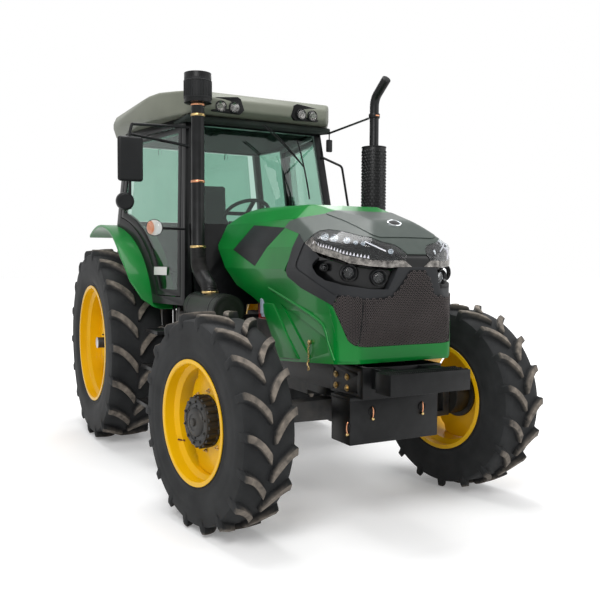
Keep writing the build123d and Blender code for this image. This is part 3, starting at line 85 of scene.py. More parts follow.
# ---- Nodes and colours --------------------------------------------------------------------------
def linear(hex_code: str) -> tuple[float, float, float, float]:
    """Turn an sRGB hex value, such as "1f6b35", into the linear colour that a socket takes."""
    channels = [int(hex_code[i : i + 2], 16) / 255 for i in (0, 2, 4)]
    red, green, blue = (c / 12.92 if c <= 0.04045 else ((c + 0.055) / 1.055) ** 2.4 for c in channels)
    return red, green, blue, 1.0


def fill(tree: Tree, node: Node, inputs: dict) -> Node:
    """Set a node's inputs.

    Args:
        tree: Node tree of the node.
        node: Node whose sockets are set.
        inputs: Socket name or index to a value, to an output socket, or to a node whose first output is meant.

    Returns:
        The same node.
    """
    for key, value in inputs.items():
        if isinstance(value, Node):
            value = value.outputs[0]
        if isinstance(value, Socket):
            tree.links.new(value, node.inputs[key])
        else:
            node.inputs[key].default_value = value
    return node


def add_node(tree: Tree, kind: str, inputs: dict | None = None, **settings) -> Node:
    """Add one node with its settings, values and links.

    Args:
        tree: Node tree that takes the node.
        kind: Type name of the node.
        inputs: What its inputs are given, as fill takes it.
        settings: Properties of the node itself.

    Returns:
        The new node.
    """
    node = tree.nodes.new(kind)
    for name, value in settings.items():
        setattr(node, name, value)
    return fill(tree, node, inputs or {})


# ---- Finishes -----------------------------------------------------------------------------------
@dataclass(frozen=True)
class Finish:
    """A named surface; each subclass says how it was made and what that gives the eye."""

    name: str
    colour: str

    def material(self) -> bpy.types.Material:
        """Return this finish's material, built on its first use."""
        known = bpy.data.materials.get(self.name)
        if known:
            return known
        material = bpy.data.materials.new(self.name)
        material.use_nodes = True
        tree = material.node_tree
        tree.nodes.clear()
        shader = add_node(tree, "ShaderNodeBsdfPrincipled")
        add_node(tree, "ShaderNodeOutputMaterial", {"Surface": shader})
        self.dress(tree, shader, add_node(tree, "ShaderNodeTexCoord").outputs["Object"])
        return material

    def dress(self, tree: Tree, shader: Node, place: Socket) -> None:
        """Set the shader up; each finish has its own.

        Args:
            tree: Node tree of the material.
            shader: Its Principled shader.
            place: Object coordinates, in metres.
        """
        raise NotImplementedError


def grain(tree: Tree, place: Socket, size_mm: float, detail: float = 2.0) -> Node:
    """Add noise, 0 to 1, whose blotches are about size_mm across.

    Args:
        tree: Node tree of the material.
        place: Coordinates in metres.
        size_mm: Width of one blotch.
        detail: Octaves of finer noise.

    Returns:
        The noise.
    """
    return add_node(tree, "ShaderNodeTexNoise", {"Vector": place, "Scale": 1 / (size_mm * MM), "Detail": detail})


def tinted(tree: Tree, value: Node, low: str, high: str, start: float = 0.3, end: float = 0.7) -> Node:
    """Colour a value between two sRGB hex colours.

    Args:
        tree: Node tree of the material.
        value: Value from 0 to 1.
        low: Colour at and below start.
        high: Colour at and above end.
        start: Value where the change begins.
        end: Value where it ends.

    Returns:
        The colour.
    """
    ramp = add_node(tree, "ShaderNodeValToRGB", {"Fac": value})
    first, last = ramp.color_ramp.elements
    first.position, last.position = start, end
    first.color, last.color = linear(low), linear(high)
    return ramp


def relief(tree: Tree, shader: Node, value: Node, depth_mm: float) -> None:
    """Give the shader the relief of a value from 0 to 1.

    Args:
        tree: Node tree of the material.
        shader: Shader whose normal is bent.
        value: Height between 0 and 1.
        depth_mm: Height that 1 stands for.
    """
    bump = add_node(tree, "ShaderNodeBump", {"Height": value, "Distance": depth_mm * MM, "Strength": 1.0})
    fill(tree, shader, {"Normal": bump})


@dataclass(frozen=True)
class GlossEnamel(Finish):
    """Two-pack enamel sprayed on pressed steel: deep colour, a clear gloss and faint orange peel."""

    shade: str = "0a6b2a"
    coat: float = 0.75

    def dress(self, tree: Tree, shader: Node, place: Socket) -> None:
        """Mottle the colour a little over 400 mm and ripple the gloss every 7 mm."""
        mottle = grain(tree, place, 400.0)
        fill(tree, shader, {
            "Roughness": 0.34, "IOR": 1.45, "Specular IOR Level": 0.22, "Coat Weight": self.coat,
            "Coat Roughness": 0.06, "Base Color": tinted(tree, mottle, self.shade, self.colour),
        })
        relief(tree, shader, grain(tree, place, 7.0), 0.05)


@dataclass(frozen=True)
class SatinEnamel(Finish):
    """Satin enamel or powder coat on plate and tube: even, faintly textured, scuffed paler in places."""

    scuff: str = "2c2d2f"
    roughness: float = 0.42
    texture_mm: float = 2.5

    def dress(self, tree: Tree, shader: Node, place: Socket) -> None:
        """Scuff patches are 90 mm wide; the powder's texture is drawn at texture_mm so that it shows."""
        patches = grain(tree, place, 90.0, 6.0)
        fill(tree, shader, {
            "Roughness": self.roughness, "IOR": 1.5, "Specular IOR Level": 0.2,
            "Base Color": tinted(tree, patches, self.colour, self.scuff, 0.45, 0.8),
        })
        relief(tree, shader, grain(tree, place, self.texture_mm), 0.12)


@dataclass(frozen=True)
class PaintedCasting(Finish):
    """Sand-cast iron under satin paint: pitted grain and oily dust in the hollows."""

    dust: str = "3b3835"

    def dress(self, tree: Tree, shader: Node, place: Socket) -> None:
        """Sand grain is drawn 5 mm wide, coarser than real so that it shows; dust lies in 120 mm patches."""
        patches = grain(tree, place, 120.0, 5.0)
        colour = tinted(tree, patches, self.colour, self.dust, 0.4, 0.75)
        fill(tree, shader, {"Roughness": 0.55, "Base Color": colour})
        relief(tree, shader, grain(tree, place, 5.0, 4.0), 0.5)


@dataclass(frozen=True)
class MouldedPlastic(Finish):
    """Injection-moulded plastic: an even leather-like grain that breaks the light up."""

    pale: str = "35373a"
    roughness: float = 0.5
    grain_mm: float = 3.0
    depth_mm: float = 0.15

    def dress(self, tree: Tree, shader: Node, place: Socket) -> None:
        """The moulded grain's cells are grain_mm wide, with a weak cloudiness over 250 mm."""
        clouds = grain(tree, place, 250.0)
        cells = add_node(tree, "ShaderNodeTexVoronoi", {"Vector": place, "Scale": 1 / (self.grain_mm * MM)})
        fill(tree, shader, {
            "Roughness": self.roughness, "IOR": 1.46, "Specular IOR Level": 0.18,
            "Base Color": tinted(tree, clouds, self.colour, self.pale, 0.3, 0.8),
        })
        relief(tree, shader, cells, self.depth_mm)


@dataclass(frozen=True)
class TyreRubber(Finish):
    """Moulded tread rubber: matt black, with lug tops worn and dusted grey-brown."""

    worn: str = "857c72"
    side: str = "2b2c2d"

    def dress(self, tree: Tree, shader: Node, place: Socket) -> None:
        """The attribute "wear" is 1 on a lug's top; grain 4 mm wide roughens all of it."""
        wear = add_node(tree, "ShaderNodeAttribute", attribute_name="wear").outputs["Fac"]
        fine = grain(tree, place, 4.0, 3.0)
        patches = tinted(tree, grain(tree, place, 45.0, 5.0), "8a8a8a", "ffffff")
        broken = add_node(tree, "ShaderNodeMath", {0: wear, 1: patches}, operation="MULTIPLY")
        base = tinted(tree, grain(tree, place, 160.0, 4.0), self.colour, self.side)
        mixed = add_node(tree, "ShaderNodeMix", {0: broken, 6: base, 7: linear(self.worn)}, data_type="RGBA")
        fill(tree, shader, {"Roughness": 0.72, "Specular IOR Level": 0.2, "Base Color": mixed.outputs[2]})
        relief(tree, shader, fine, 0.35)


@dataclass(frozen=True)
class SafetyGlass(Finish):
    """Float glass, tempered, green in the melt: clear, with a weak teal tint and a little dust."""

    def dress(self, tree: Tree, shader: Node, place: Socket) -> None:
        """Dust makes the tint uneven over 300 mm."""
        film = tinted(tree, grain(tree, place, 300.0, 4.0), self.colour, "b9d6ca", 0.2, 1.0)
        fill(tree, shader, {"Transmission Weight": 1.0, "Roughness": 0.0, "IOR": 1.45, "Base Color": film})


@dataclass(frozen=True)
class ClearLens(Finish):
    """Moulded polycarbonate lamp lens: clear with a hard gloss coat."""

    def dress(self, tree: Tree, shader: Node, place: Socket) -> None:
        """Flow marks tint the lens over 60 mm, too weakly to cloud it."""
        flow = tinted(tree, grain(tree, place, 60.0), self.colour, "ffffff", 0.2, 0.8)
        fill(tree, shader, {"Transmission Weight": 1.0, "Roughness": 0.02, "IOR": 1.3, "Base Color": flow})


@dataclass(frozen=True)
class BareMetal(Finish):
    """Plated or machined metal: a metallic sheen, with handling marks that dull it in places."""

    dull: str = "8a8f93"
    roughness: float = 0.25

    def dress(self, tree: Tree, shader: Node, place: Socket) -> None:
        """Marks are 25 mm wide."""
        marks = tinted(tree, grain(tree, place, 25.0, 4.0), self.dull, self.colour)
        fill(tree, shader, {"Metallic": 1.0, "Roughness": self.roughness, "Base Color": marks})
        relief(tree, shader, grain(tree, place, 2.0), 0.05)


@dataclass(frozen=True)
class SeatCloth(Finish):
    """Woven polyester seat cloth: the threads' tops are painted paler, a painted highlight where they would catch the
    light.
    """

    # Paler colour painted on the threads' tops: a painted highlight.
    thread_highlight: str = "3a3c40"

    def dress(self, tree: Tree, shader: Node, place: Socket) -> None:
        """Threads are drawn about 3 mm apart, coarser than the real 1 mm, so that they show."""
        warp, weft = (
            add_node(tree, "ShaderNodeTexWave", {"Vector": place, "Scale": 100.0}, bands_direction=direction)
            for direction in "XY"
        )
        weave = add_node(
            tree, "ShaderNodeMath", {0: warp.outputs["Fac"], 1: weft.outputs["Fac"]}, operation="MULTIPLY"
        )
        # The weave's high points, the threads' tops, are painted paler as a highlight.
        colour = tinted(tree, weave, self.colour, self.thread_highlight, 0.1, 0.9)
        fill(tree, shader, {"Roughness": 0.9, "Sheen Weight": 0.25, "Base Color": colour})
        relief(tree, shader, weave, 0.4)


GREEN_ENAMEL = GlossEnamel("Green two-pack enamel on pressed steel", "047a2d", "036826", 0.16)
YELLOW_ENAMEL = GlossEnamel("Yellow enamel on rolled steel rims", "ebb806", "dfab05", 0.12)
PIANO_BLACK = GlossEnamel("Black gloss lacquer on ABS", "0b0c0d", "08090a", 0.3)
RED_ENAMEL = GlossEnamel("Red enamel on the engine", "8c1c17", "7a1814", 0.3)
BONNET_SATIN = SatinEnamel("Grey-green satin enamel on the bonnet", "424a46", "4a524d", 0.36, 4.0)
BLACK_ENAMEL = SatinEnamel("Black satin enamel on plate", "0b0c0d", "1a1b1c", 0.36)
CAB_ENAMEL = SatinEnamel("Black semi-gloss enamel on cab tube", "0d0e0f", "191a1b", 0.28)
IRON = PaintedCasting("Grey-black painted cast iron", "191a1b")
NOSE_PLASTIC = MouldedPlastic("Charcoal grained polypropylene of the nose", "28292b", "303133", 0.5)
MESH_PLASTIC = MouldedPlastic("Black ABS grille mesh", "1b1d1e", "26282a", 0.45)
ROOF_PLASTIC = MouldedPlastic("Grey-green thermoformed ABS roof", "6f7267", "7a7d71", 0.42, 4.0, 0.06)
BLACK_PLASTIC = MouldedPlastic("Black polyethylene", "151617", "1f2021", 0.4)
CONSOLE_PLASTIC = MouldedPlastic("Dark grained ABS of the console", "232527", "2d2f32", 0.55)
TYRE = TyreRubber("Moulded tyre rubber", "1d1e1f")
GLASS = SafetyGlass("Tempered safety glass", "a9cbbd")
LAMP_BLACK = MouldedPlastic("Black moulded lamp housing", "08090a", "0f1011", 0.35, 30.0, 0.02)
# The grille's sheet is painted near-black, darker than its black plastic, as shade between and behind the cells.
MESH_SHEET_SHADE = MouldedPlastic("Black ABS grille sheet", "0a0a0b", "101011", 0.6, 3.0, 0.05)
# The grille's cells are black plastic painted mid-grey as a highlight where they catch the light.
MESH_CELL_HIGHLIGHT = MouldedPlastic("Black ABS cells of the grille", "5c5554", "4a4443", 0.36, 3.0, 0.05)
PRECLEANER = MouldedPlastic("Black glass-filled nylon pre-cleaner", "1c1d1e", "262728", 0.5, 3.0, 0.1)
HOSE_RUBBER = MouldedPlastic("Black EPDM hose rubber", "1f1e1e", "2a2928", 0.62, 3.0, 0.12)
CANISTER = MouldedPlastic("Dark green-black polypropylene canister", "10150f", "1a1f19", 0.36, 4.0, 0.08)
FILTER_CAN = GlossEnamel("Pale blue-grey enamelled filter can", "9aa6b4", "8896a6", 0.3)
HEADLINER = MouldedPlastic("Grey needle-felt headliner", "2a302d", "353b38", 0.9, 4.0, 0.3)
PLATE_WHITE = GlossEnamel("White enamelled plate", "d9dad6", "cfd0cc", 0.2)
LENS = ClearLens("Clear polycarbonate lens", "f2f6f8")
CHROME = BareMetal("Vacuum-plated chrome reflector", "e8ebee", "c9cdd1", 0.08)
SMOKED_CHROME = BareMetal("Smoked chrome on the lamp strip", "a09c97", "4c4a48", 0.2)
MIRROR_GLASS = BareMetal("Silvered mirror glass", "d4dadb", "cdd4d5", 0.03)
AMBER_LENS = ClearLens("Amber polycarbonate lens", "f08a1c")
PRISM = BareMetal("Bright plated light-guide prisms", "f3f2f6", "dcd9e2", 0.12)
COPPER = BareMetal("Copper-plated band clamps", "d79a78", "b9805f", 0.3)
BRASS_ZINC = BareMetal("Yellow-passivated steel fasteners", "cdb27a", "9a835a", 0.38)
CREAM_ZINC = BareMetal("Yellow-zinc washers", "e0cfa4", "c0ae84", 0.45)
RUST = PaintedCasting("Rusted steel valve stem", "5a2f16", "8a4a1e")
HUB_IRON = PaintedCasting("Black painted cast-iron hub", "0f1011", "26221a")
STEEL = BareMetal("Turned steel", "b4b6b8", "8b8d90", 0.3)
SEAT_CLOTH = SeatCloth("Woven polyester seat cloth", "1b1c1f")


# ---- Meshes -------------------------------------------------------------------------------------
def placed_object(name: str, mesh: bpy.types.Mesh) -> Piece:
    """Put a mesh into the scene as an object at the origin, and return it."""
    piece = bpy.data.objects.new(name, mesh)
    bpy.context.collection.objects.link(piece)
    return piece


@contextmanager
def edited(mesh: bpy.types.Mesh) -> Iterator[bmesh.types.BMesh]:
    """Open a mesh for editing and write it back afterwards."""
    work = bmesh.new()
    work.from_mesh(mesh)
    yield work
    work.to_mesh(mesh)
    work.free()


def mesh_from(name: str, points: Sequence[Point], faces: Sequence[Sequence[int]]) -> Piece:
    """Make a closed or open mesh whose faces point outwards.

    Args:
        name: Name of the piece.
        points: Corners in metres.
        faces: Corner numbers of each face.

    Returns:
        The new object, at the origin.
    """
    mesh = bpy.data.meshes.new(name)
    mesh.from_pydata([tuple(p) for p in points], [], [tuple(f) for f in faces])
    with edited(mesh) as work:
        bmesh.ops.remove_doubles(work, verts=work.verts, dist=1e-6)
        bmesh.ops.recalc_face_normals(work, faces=work.faces)
    return placed_object(name, mesh)


def smoothed(piece: Piece, angle: float = 35.0) -> Piece:
    """Shade a piece smooth but for edges sharper than angle, in degrees, and return it."""
    for polygon in piece.data.polygons:
        polygon.use_smooth = True
    piece.data.set_sharp_from_angle(angle=math.radians(angle))
    return piece


def evaluated(piece: Piece) -> bpy.types.Mesh:
    """Return a new mesh of what a piece's modifiers or curve make."""
    bpy.context.view_layer.update()
    graph = bpy.context.evaluated_depsgraph_get()
    return bpy.data.meshes.new_from_object(piece.evaluated_get(graph), depsgraph=graph)


def applied(piece: Piece) -> Piece:
    """Turn a piece's modifiers into a plain mesh, remove them, and return the piece."""
    mesh = evaluated(piece)
    piece.modifiers.clear()
    piece.data = mesh
    return piece


def bevelled(piece: Piece, width_mm: float, segments: int = 2, angle: float = 30.0) -> Piece:
    """Round a piece's edges that are sharper than angle.

    Args:
        piece: Object to round.
        width_mm: Width of the rounding.
        segments: Steps across it.
        angle: Least angle, in degrees, of an edge that is rounded.

    Returns:
        The same object, with a plain mesh.
    """
    bevel = piece.modifiers.new("Bevel", "BEVEL")
    bevel.width = width_mm * MM
    bevel.segments = segments
    bevel.limit_method = "ANGLE"
    bevel.angle_limit = math.radians(angle)
    return smoothed(applied(piece), min(40.0, angle * 1.2))


def softened(
    source: Piece, width_mm: float = 3.0, segments: int = 2, angle: float = 30.0
) -> Piece:
    """Copy a CAD node's mesh, merge its flat faces and round its edges.

    Args:
        source: Object of the CAD node, which is left as it is.
        width_mm: Width of the rounding.
        segments: Steps across it.
        angle: Least angle, in degrees, of an edge that is rounded.

    Returns:
        A new object that can stand for the node.
    """
    mesh = source.data.copy()
    with edited(mesh) as work:
        bmesh.ops.remove_doubles(work, verts=work.verts, dist=2e-5)
        flat = math.radians(0.4)
        bmesh.ops.dissolve_limit(work, angle_limit=flat, verts=work.verts, edges=work.edges)
    mesh.materials.clear()
    return bevelled(placed_object(f"{source.name}_dressed", mesh), width_mm, segments, angle)


def lathe(
    name: str, profile: Sequence[tuple[float, float]], place: Matrix, segments: int = 96, closed: bool = True
) -> Piece:
    """Turn an (along, radius) profile about the local x axis.

    Args:
        name: Name of the piece.
        profile: Points in metres; a radius of 0 closes an end.
        place: Matrix from the piece's own axes to the row frame.
        segments: Faces round the axis.
        closed: Whether the profile's last point joins its first.

    Returns:
        The turned piece.
    """
    points, faces = [], []
    count = len(profile)
    for k in range(segments):
        angle = math.tau * k / segments
        for x, radius in profile:
            points.append(place @ Vector((x, radius * math.cos(angle), radius * math.sin(angle))))
    last = count if closed else count - 1
    for k in range(segments):
        this, following = k * count, ((k + 1) % segments) * count
        for i in range(last):
            j = (i + 1) % count
            faces.append((this + i, this + j, following + j, following + i))
    piece = mesh_from(name, points, faces)
    with edited(piece.data) as work:
        bmesh.ops.dissolve_degenerate(work, edges=work.edges, dist=1e-6)
        bmesh.ops.recalc_face_normals(work, faces=work.faces)
    return smoothed(piece)


@dataclass
class Workshop:
    """Dresses and mounts pieces: gives each its finish and its CAD body, and logs it."""

    made: int = 0

    def mount(
        self, piece: Piece, body: str, finish: Finish, slot: str, replaces: Iterable[str] = ()
    ) -> Piece:
        """Finish one piece.

        Args:
            piece: Object whose mesh is final.
            body: CAD body that it moves with.
            finish: Its finish.
            slot: Slot of the record; not used.
            replaces: CAD nodes that it stands for.

        Returns:
            The piece.
        """
        piece.data.materials.clear()
        piece.data.materials.append(finish.material())
        piece.data.polygons.foreach_set("material_index", [0] * len(piece.data.polygons))
        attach(piece, body)
        nodes = tuple(replaces)
        if nodes:
            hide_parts(*nodes)
        self.made += 1
        LOG.info("%s on %s, %d faces", piece.name, body, len(piece.data.polygons))
        return piece


# ---- Repeats by Geometry Nodes ------------------------------------------------------------------
class Array(Enum):
    """How copies are laid out; each value is the name of its node tree."""

    RING = "Ring of copies"
    GRID = "Grid of copies"
    PATH = "Copies along a path"
    MESHWORK = "Meshwork on a surface"


def new_tree(kind: Array, **sockets: str) -> tuple[Tree, Sequence[Socket]]:
    """Start a geometry node tree.

    Args:
        kind: Layout that the tree makes.
        sockets: Name of each input but Copy and Finish, with spaces as underscores, and its type.

    Returns:
        The tree and the inputs that it is given.
    """
    tree = bpy.data.node_groups.new(kind.value, "GeometryNodeTree")
    for label, socket in {"Copy": "Object", **sockets, "Finish": "Material"}.items():
        tree.interface.new_socket(label.replace("_", " "), in_out="INPUT", socket_type=f"NodeSocket{socket}")
    tree.interface.new_socket("Geometry", in_out="OUTPUT", socket_type="NodeSocketGeometry")
    return tree, add_node(tree, "NodeGroupInput").outputs


def close_tree(tree: Tree, given: Sequence[Socket], points: Node | Socket, turn: Node | None = None) -> Tree:
    """End a tree: set the copies on its points, make them real, set their material and put them out.

    Args:
        tree: Tree that is ended.
        given: Its inputs, with Copy and Finish.
        points: Where the copies are.
        turn: How each is turned.

    Returns:
        The same tree.
    """
    copy = add_node(tree, "GeometryNodeObjectInfo", {"Object": given["Copy"]}).outputs["Geometry"]
    turned = {} if turn is None else {"Rotation": turn}
    copies = add_node(tree, "GeometryNodeInstanceOnPoints", {"Points": points, "Instance": copy, **turned})
    real = add_node(tree, "GeometryNodeRealizeInstances", {0: copies})
    dressed = add_node(tree, "GeometryNodeSetMaterial", {"Geometry": real, "Material": given["Finish"]})
    add_node(tree, "NodeGroupOutput", {0: dressed})
    return tree


def numbered(tree: Tree, total: Socket, across: Socket) -> tuple[Node, Node, Node]:
    """Add the points of a layout in rows.

    Args:
        tree: Tree of the layout.
        total: Number of rows.
        across: Number of copies in a row.

    Returns:
        The points, each one's number and its row.
    """
    count = add_node(tree, "ShaderNodeMath", {0: across, 1: total}, operation="MULTIPLY")
    points = add_node(tree, "GeometryNodePoints", {"Count": count})
    index = add_node(tree, "GeometryNodeInputIndex")
    quotient = add_node(tree, "ShaderNodeMath", {0: index, 1: across}, operation="DIVIDE")
    return points, index, add_node(tree, "ShaderNodeMath", {0: quotient}, operation="FLOOR")


def ring_tree() -> Tree:
    """Return the tree that sets copies of an object in one or more rings about the x axis."""
    tree, given = new_tree(
        Array.RING, Count="Int", Radius="Float", Phase="Float", Rows="Int", Rise="Float", Twist="Float"
    )
    points, index, row = numbered(tree, given["Rows"], given["Count"])
    step = add_node(tree, "ShaderNodeMath", {0: math.tau, 1: given["Count"]}, operation="DIVIDE")
    start = add_node(
        tree, "ShaderNodeMath", {0: row, 1: given["Twist"], 2: given["Phase"]}, operation="MULTIPLY_ADD"
    )
    turn = add_node(tree, "ShaderNodeMath", {0: index, 1: step, 2: start}, operation="MULTIPLY_ADD")
    cosine = add_node(tree, "ShaderNodeMath", {0: turn}, operation="COSINE")
    sine = add_node(tree, "ShaderNodeMath", {0: turn}, operation="SINE")
    where = add_node(tree, "ShaderNodeCombineXYZ", {
        axis: add_node(tree, "ShaderNodeMath", {0: value, 1: given[size]}, operation="MULTIPLY")
        for axis, value, size in (("X", row, "Rise"), ("Y", cosine, "Radius"), ("Z", sine, "Radius"))
    })
    moved = add_node(tree, "GeometryNodeSetPosition", {"Geometry": points, "Position": where})
    return close_tree(tree, given, moved, add_node(tree, "ShaderNodeCombineXYZ", {"X": turn}))


def grid_tree() -> Tree:
    """Return the tree that sets copies of an object in rows and columns."""
    tree, given = new_tree(Array.GRID, Columns="Int", Rows="Int", Column_Step="Vector", Row_Step="Vector")
    points, index, row = numbered(tree, given["Rows"], given["Columns"])
    column = add_node(tree, "ShaderNodeMath", {0: index, 1: given["Columns"]}, operation="MODULO")
    across, up = (
        add_node(tree, "ShaderNodeVectorMath", {0: given[step], "Scale": number}, operation="SCALE")
        for step, number in (("Column Step", column), ("Row Step", row))
    )
    where = add_node(tree, "ShaderNodeVectorMath", {0: across, 1: up}, operation="ADD")
    return close_tree(
        tree, given, add_node(tree, "GeometryNodeSetPosition", {"Geometry": points, "Position": where})
    )


def path_tree() -> Tree:
    """Return the tree that sets copies of an object along a line, x along it and each turned by Twist more."""
    tree, given = new_tree(Array.PATH, Path="Object", Spacing="Float", Up="Vector", Twist="Float")
    line = add_node(tree, "GeometryNodeObjectInfo", {"Object": given["Path"]}).outputs["Geometry"]
    curve = add_node(tree, "GeometryNodeMeshToCurve", {"Mesh": line})
    points = add_node(
        tree, "GeometryNodeCurveToPoints", {"Curve": curve, "Length": given["Spacing"]}, mode="LENGTH"
    )
    along = add_node(tree, "FunctionNodeAlignRotationToVector", {"Vector": points.outputs["Tangent"]}, axis="X")
    upright = add_node(
        tree, "FunctionNodeAlignRotationToVector", {"Rotation": along, "Vector": given["Up"]},
        axis="Z", pivot_axis="X",
    )
    index = add_node(tree, "GeometryNodeInputIndex")
    turn = add_node(tree, "ShaderNodeMath", {0: index, 1: given["Twist"]}, operation="MULTIPLY")
    spin = add_node(tree, "ShaderNodeCombineXYZ", {"X": turn})
    facing_up = add_node(
        tree, "FunctionNodeRotateRotation", {"Rotation": upright, "Rotate By": spin}, rotation_space="LOCAL"
    )
    return close_tree(tree, given, points.outputs["Points"], facing_up)


def meshwork_tree() -> Tree:
    """Return the tree that throws a staggered grid of copies from a centre onto a surface."""
    tree, given = new_tree(
        Array.MESHWORK, Surface="Object", Centre="Vector", Width="Float", Height="Float", Columns="Int", Rows="Int"
    )
    grid = add_node(
        tree, "GeometryNodeMeshGrid",
        {"Size X": given["Width"], "Size Y": given["Height"], "Vertices X": given["Columns"],
         "Vertices Y": given["Rows"]},
    )
    index = add_node(tree, "GeometryNodeInputIndex")
    cell = add_node(tree, "ShaderNodeMath", {0: given["Height"], 1: given["Rows"]}, operation="DIVIDE")
    nudge = add_node(tree, "ShaderNodeMath", {0: cell, 1: 0.5}, operation="MULTIPLY")
    quotient = add_node(tree, "ShaderNodeMath", {0: index, 1: given["Rows"]}, operation="DIVIDE")
    column = add_node(tree, "ShaderNodeMath", {0: quotient}, operation="FLOOR")
    odd = add_node(tree, "ShaderNodeMath", {0: column, 1: 2.0}, operation="MODULO")
    rise = add_node(tree, "ShaderNodeMath", {0: odd, 1: nudge}, operation="MULTIPLY")
    where = add_node(tree, "ShaderNodeSeparateXYZ", {0: add_node(tree, "GeometryNodeInputPosition")})
    up = add_node(tree, "ShaderNodeMath", {0: where.outputs["Y"], 1: rise}, operation="ADD")
    slant = add_node(tree, "ShaderNodeCombineXYZ", {"X": where.outputs["X"], "Y": -1.0, "Z": up})
    way = add_node(tree, "ShaderNodeVectorMath", {0: slant}, operation="NORMALIZE")
    far = add_node(tree, "ShaderNodeVectorMath", {0: way, "Scale": RAY_LENGTH}, operation="SCALE")
    start = add_node(tree, "ShaderNodeVectorMath", {0: far, 1: given["Centre"]}, operation="ADD")
    back = add_node(tree, "ShaderNodeVectorMath", {0: way, "Scale": -1.0}, operation="SCALE")
    surface = add_node(tree, "GeometryNodeObjectInfo", {"Object": given["Surface"]}).outputs["Geometry"]
    hit = add_node(
        tree, "GeometryNodeRaycast",
        {"Target Geometry": surface, "Source Position": start, "Ray Direction": back, "Ray Length": RAY_LENGTH},
    )
    missed = add_node(tree, "FunctionNodeBooleanMath", {0: hit.outputs["Is Hit"]}, operation="NOT")
    held = add_node(tree, "GeometryNodeCaptureAttribute", {"Geometry": grid.outputs["Mesh"]})
    for kind, name, value in (
        ("VECTOR", "Normal", hit.outputs["Hit Normal"]), ("BOOLEAN", "Missed", missed),
        ("VECTOR", "Place", hit.outputs["Hit Position"]),
    ):
        held.capture_items.new(kind, name)
        fill(tree, held, {name: value})
    kept = add_node(
        tree, "GeometryNodeMeshToPoints", {"Mesh": held.outputs["Geometry"], "Position": held.outputs["Place"]}
    )
    lasting = add_node(
        tree, "GeometryNodeDeleteGeometry", {"Geometry": kept, "Selection": held.outputs["Missed"]}
    )
    outward = add_node(
        tree, "FunctionNodeAlignRotationToVector", {"Vector": held.outputs["Normal"]}, axis="Z"
    )
    return close_tree(tree, given, lasting, outward)


def repeated(name: str, kind: Array, copy: Piece, finish: Finish, place: Matrix = HERE, **sizes) -> Piece:
    """Lay out copies of an object by Geometry Nodes and turn them into one plain mesh.

    Args:
        name: Name of the piece.
        kind: Rings about the local x axis, a grid, a line or a surface.
        copy: Object that is repeated, drawn about the local origin; it is removed afterwards.
        finish: Finish of the copies.
        place: Matrix from the layout's own axes to the row frame.
        sizes: The tree's other inputs by name, with spaces as underscores.

    Returns:
        The finished layout.
    """
    makers = {
        Array.RING: ring_tree, Array.GRID: grid_tree, Array.PATH: path_tree, Array.MESHWORK: meshwork_tree,
    }
    tree = bpy.data.node_groups.get(kind.value) or makers[kind]()
    host = placed_object(name, bpy.data.meshes.new(name))
    modifier = host.modifiers.new(tree.name, "NODES")
    modifier.node_group = tree
    values = {"Copy": copy, "Finish": finish.material(), "Rows": 1, "Rise": 0.0, "Twist": 0.0, "Phase": 0.0}
    values.update({key.replace("_", " "): value for key, value in sizes.items()})
    for item in tree.interface.items_tree:
        if item.item_type == "SOCKET" and item.in_out == "INPUT":
            modifier[item.identifier] = values[item.name]
    applied(host)
    bpy.data.objects.remove(copy)
    return moved_by(host, place)


def moved_by(piece: Piece, place: Matrix) -> Piece:
    """Move a piece's mesh by a matrix, turn its faces outwards again if that mirrored it, and return it."""
    piece.data.transform(place)
    if place.determinant() < 0:
        piece.data.flip_normals()
    piece.data.update()
    return piece


def joined(name: str, parts: Sequence[Piece]) -> Piece:
    """Join several meshes at the origin into one object.

    Args:
        name: Name of the joined piece.
        parts: Objects that are joined and removed; their materials keep their order.

    Returns:
        The joined object.
    """
    first = parts[0]
    with bpy.context.temp_override(
        active_object=first, selected_editable_objects=list(parts), selected_objects=list(parts), object=first
    ):
        bpy.ops.object.join()
    first.name = name
    first.data.name = name
    return first


def along_path(
    name: str, points: Sequence[Vector], copy: Piece, finish: Finish, spacing: float,
    up: Point = (0.0, 0.0, 1.0), twist: float = 0.0,
) -> Piece:
    """Set copies of an object along a line by Geometry Nodes.

    Args:
        name: Name of the piece.
        points: The line's points, in metres.
        copy: Object that is repeated; its x axis lies along the line.
        finish: Finish of the copies.
        spacing: Distance between copies, in metres.
        up: Direction of the copies' z axis.
        twist: Angle by which each copy is turned more than the one before it.

    Returns:
        The finished row.
    """
    mesh = bpy.data.meshes.new("line")
    mesh.from_pydata([tuple(point) for point in points], [(i, i + 1) for i in range(len(points) - 1)], [])
    line = placed_object("line", mesh)
    row = repeated(name, Array.PATH, copy, finish, Path=line, Spacing=spacing, Up=up, Twist=twist)
    bpy.data.objects.remove(line)
    return row


def tube(name: str, points: Sequence[Vector], radius_mm: float, closed: bool = False) -> Piece:
    """Bend a round rod along a smooth curve.

    Args:
        name: Name of the piece.
        points: Control points in metres.
        radius_mm: Radius of the rod.
        closed: Whether its ends meet.

    Returns:
        The rod as a mesh with closed ends.
    """
    data = bpy.data.curves.new(name, "CURVE")
    data.dimensions = "3D"
    data.bevel_depth = radius_mm * MM
    data.bevel_resolution = 3
    data.use_fill_caps = not closed
    spline = data.splines.new("NURBS")
    spline.points.add(len(points) - 1)
    for spot, point in zip(spline.points, points):
        spot.co = (*point, 1.0)
    spline.order_u = 3
    spline.use_endpoint_u = not closed
    spline.use_cyclic_u = closed
    spline.resolution_u = 8
    curve = placed_object(f"{name}_curve", data)
    mesh = evaluated(curve)
    bpy.data.objects.remove(curve)
    mesh.name = name
    return smoothed(placed_object(name, mesh), 60.0)


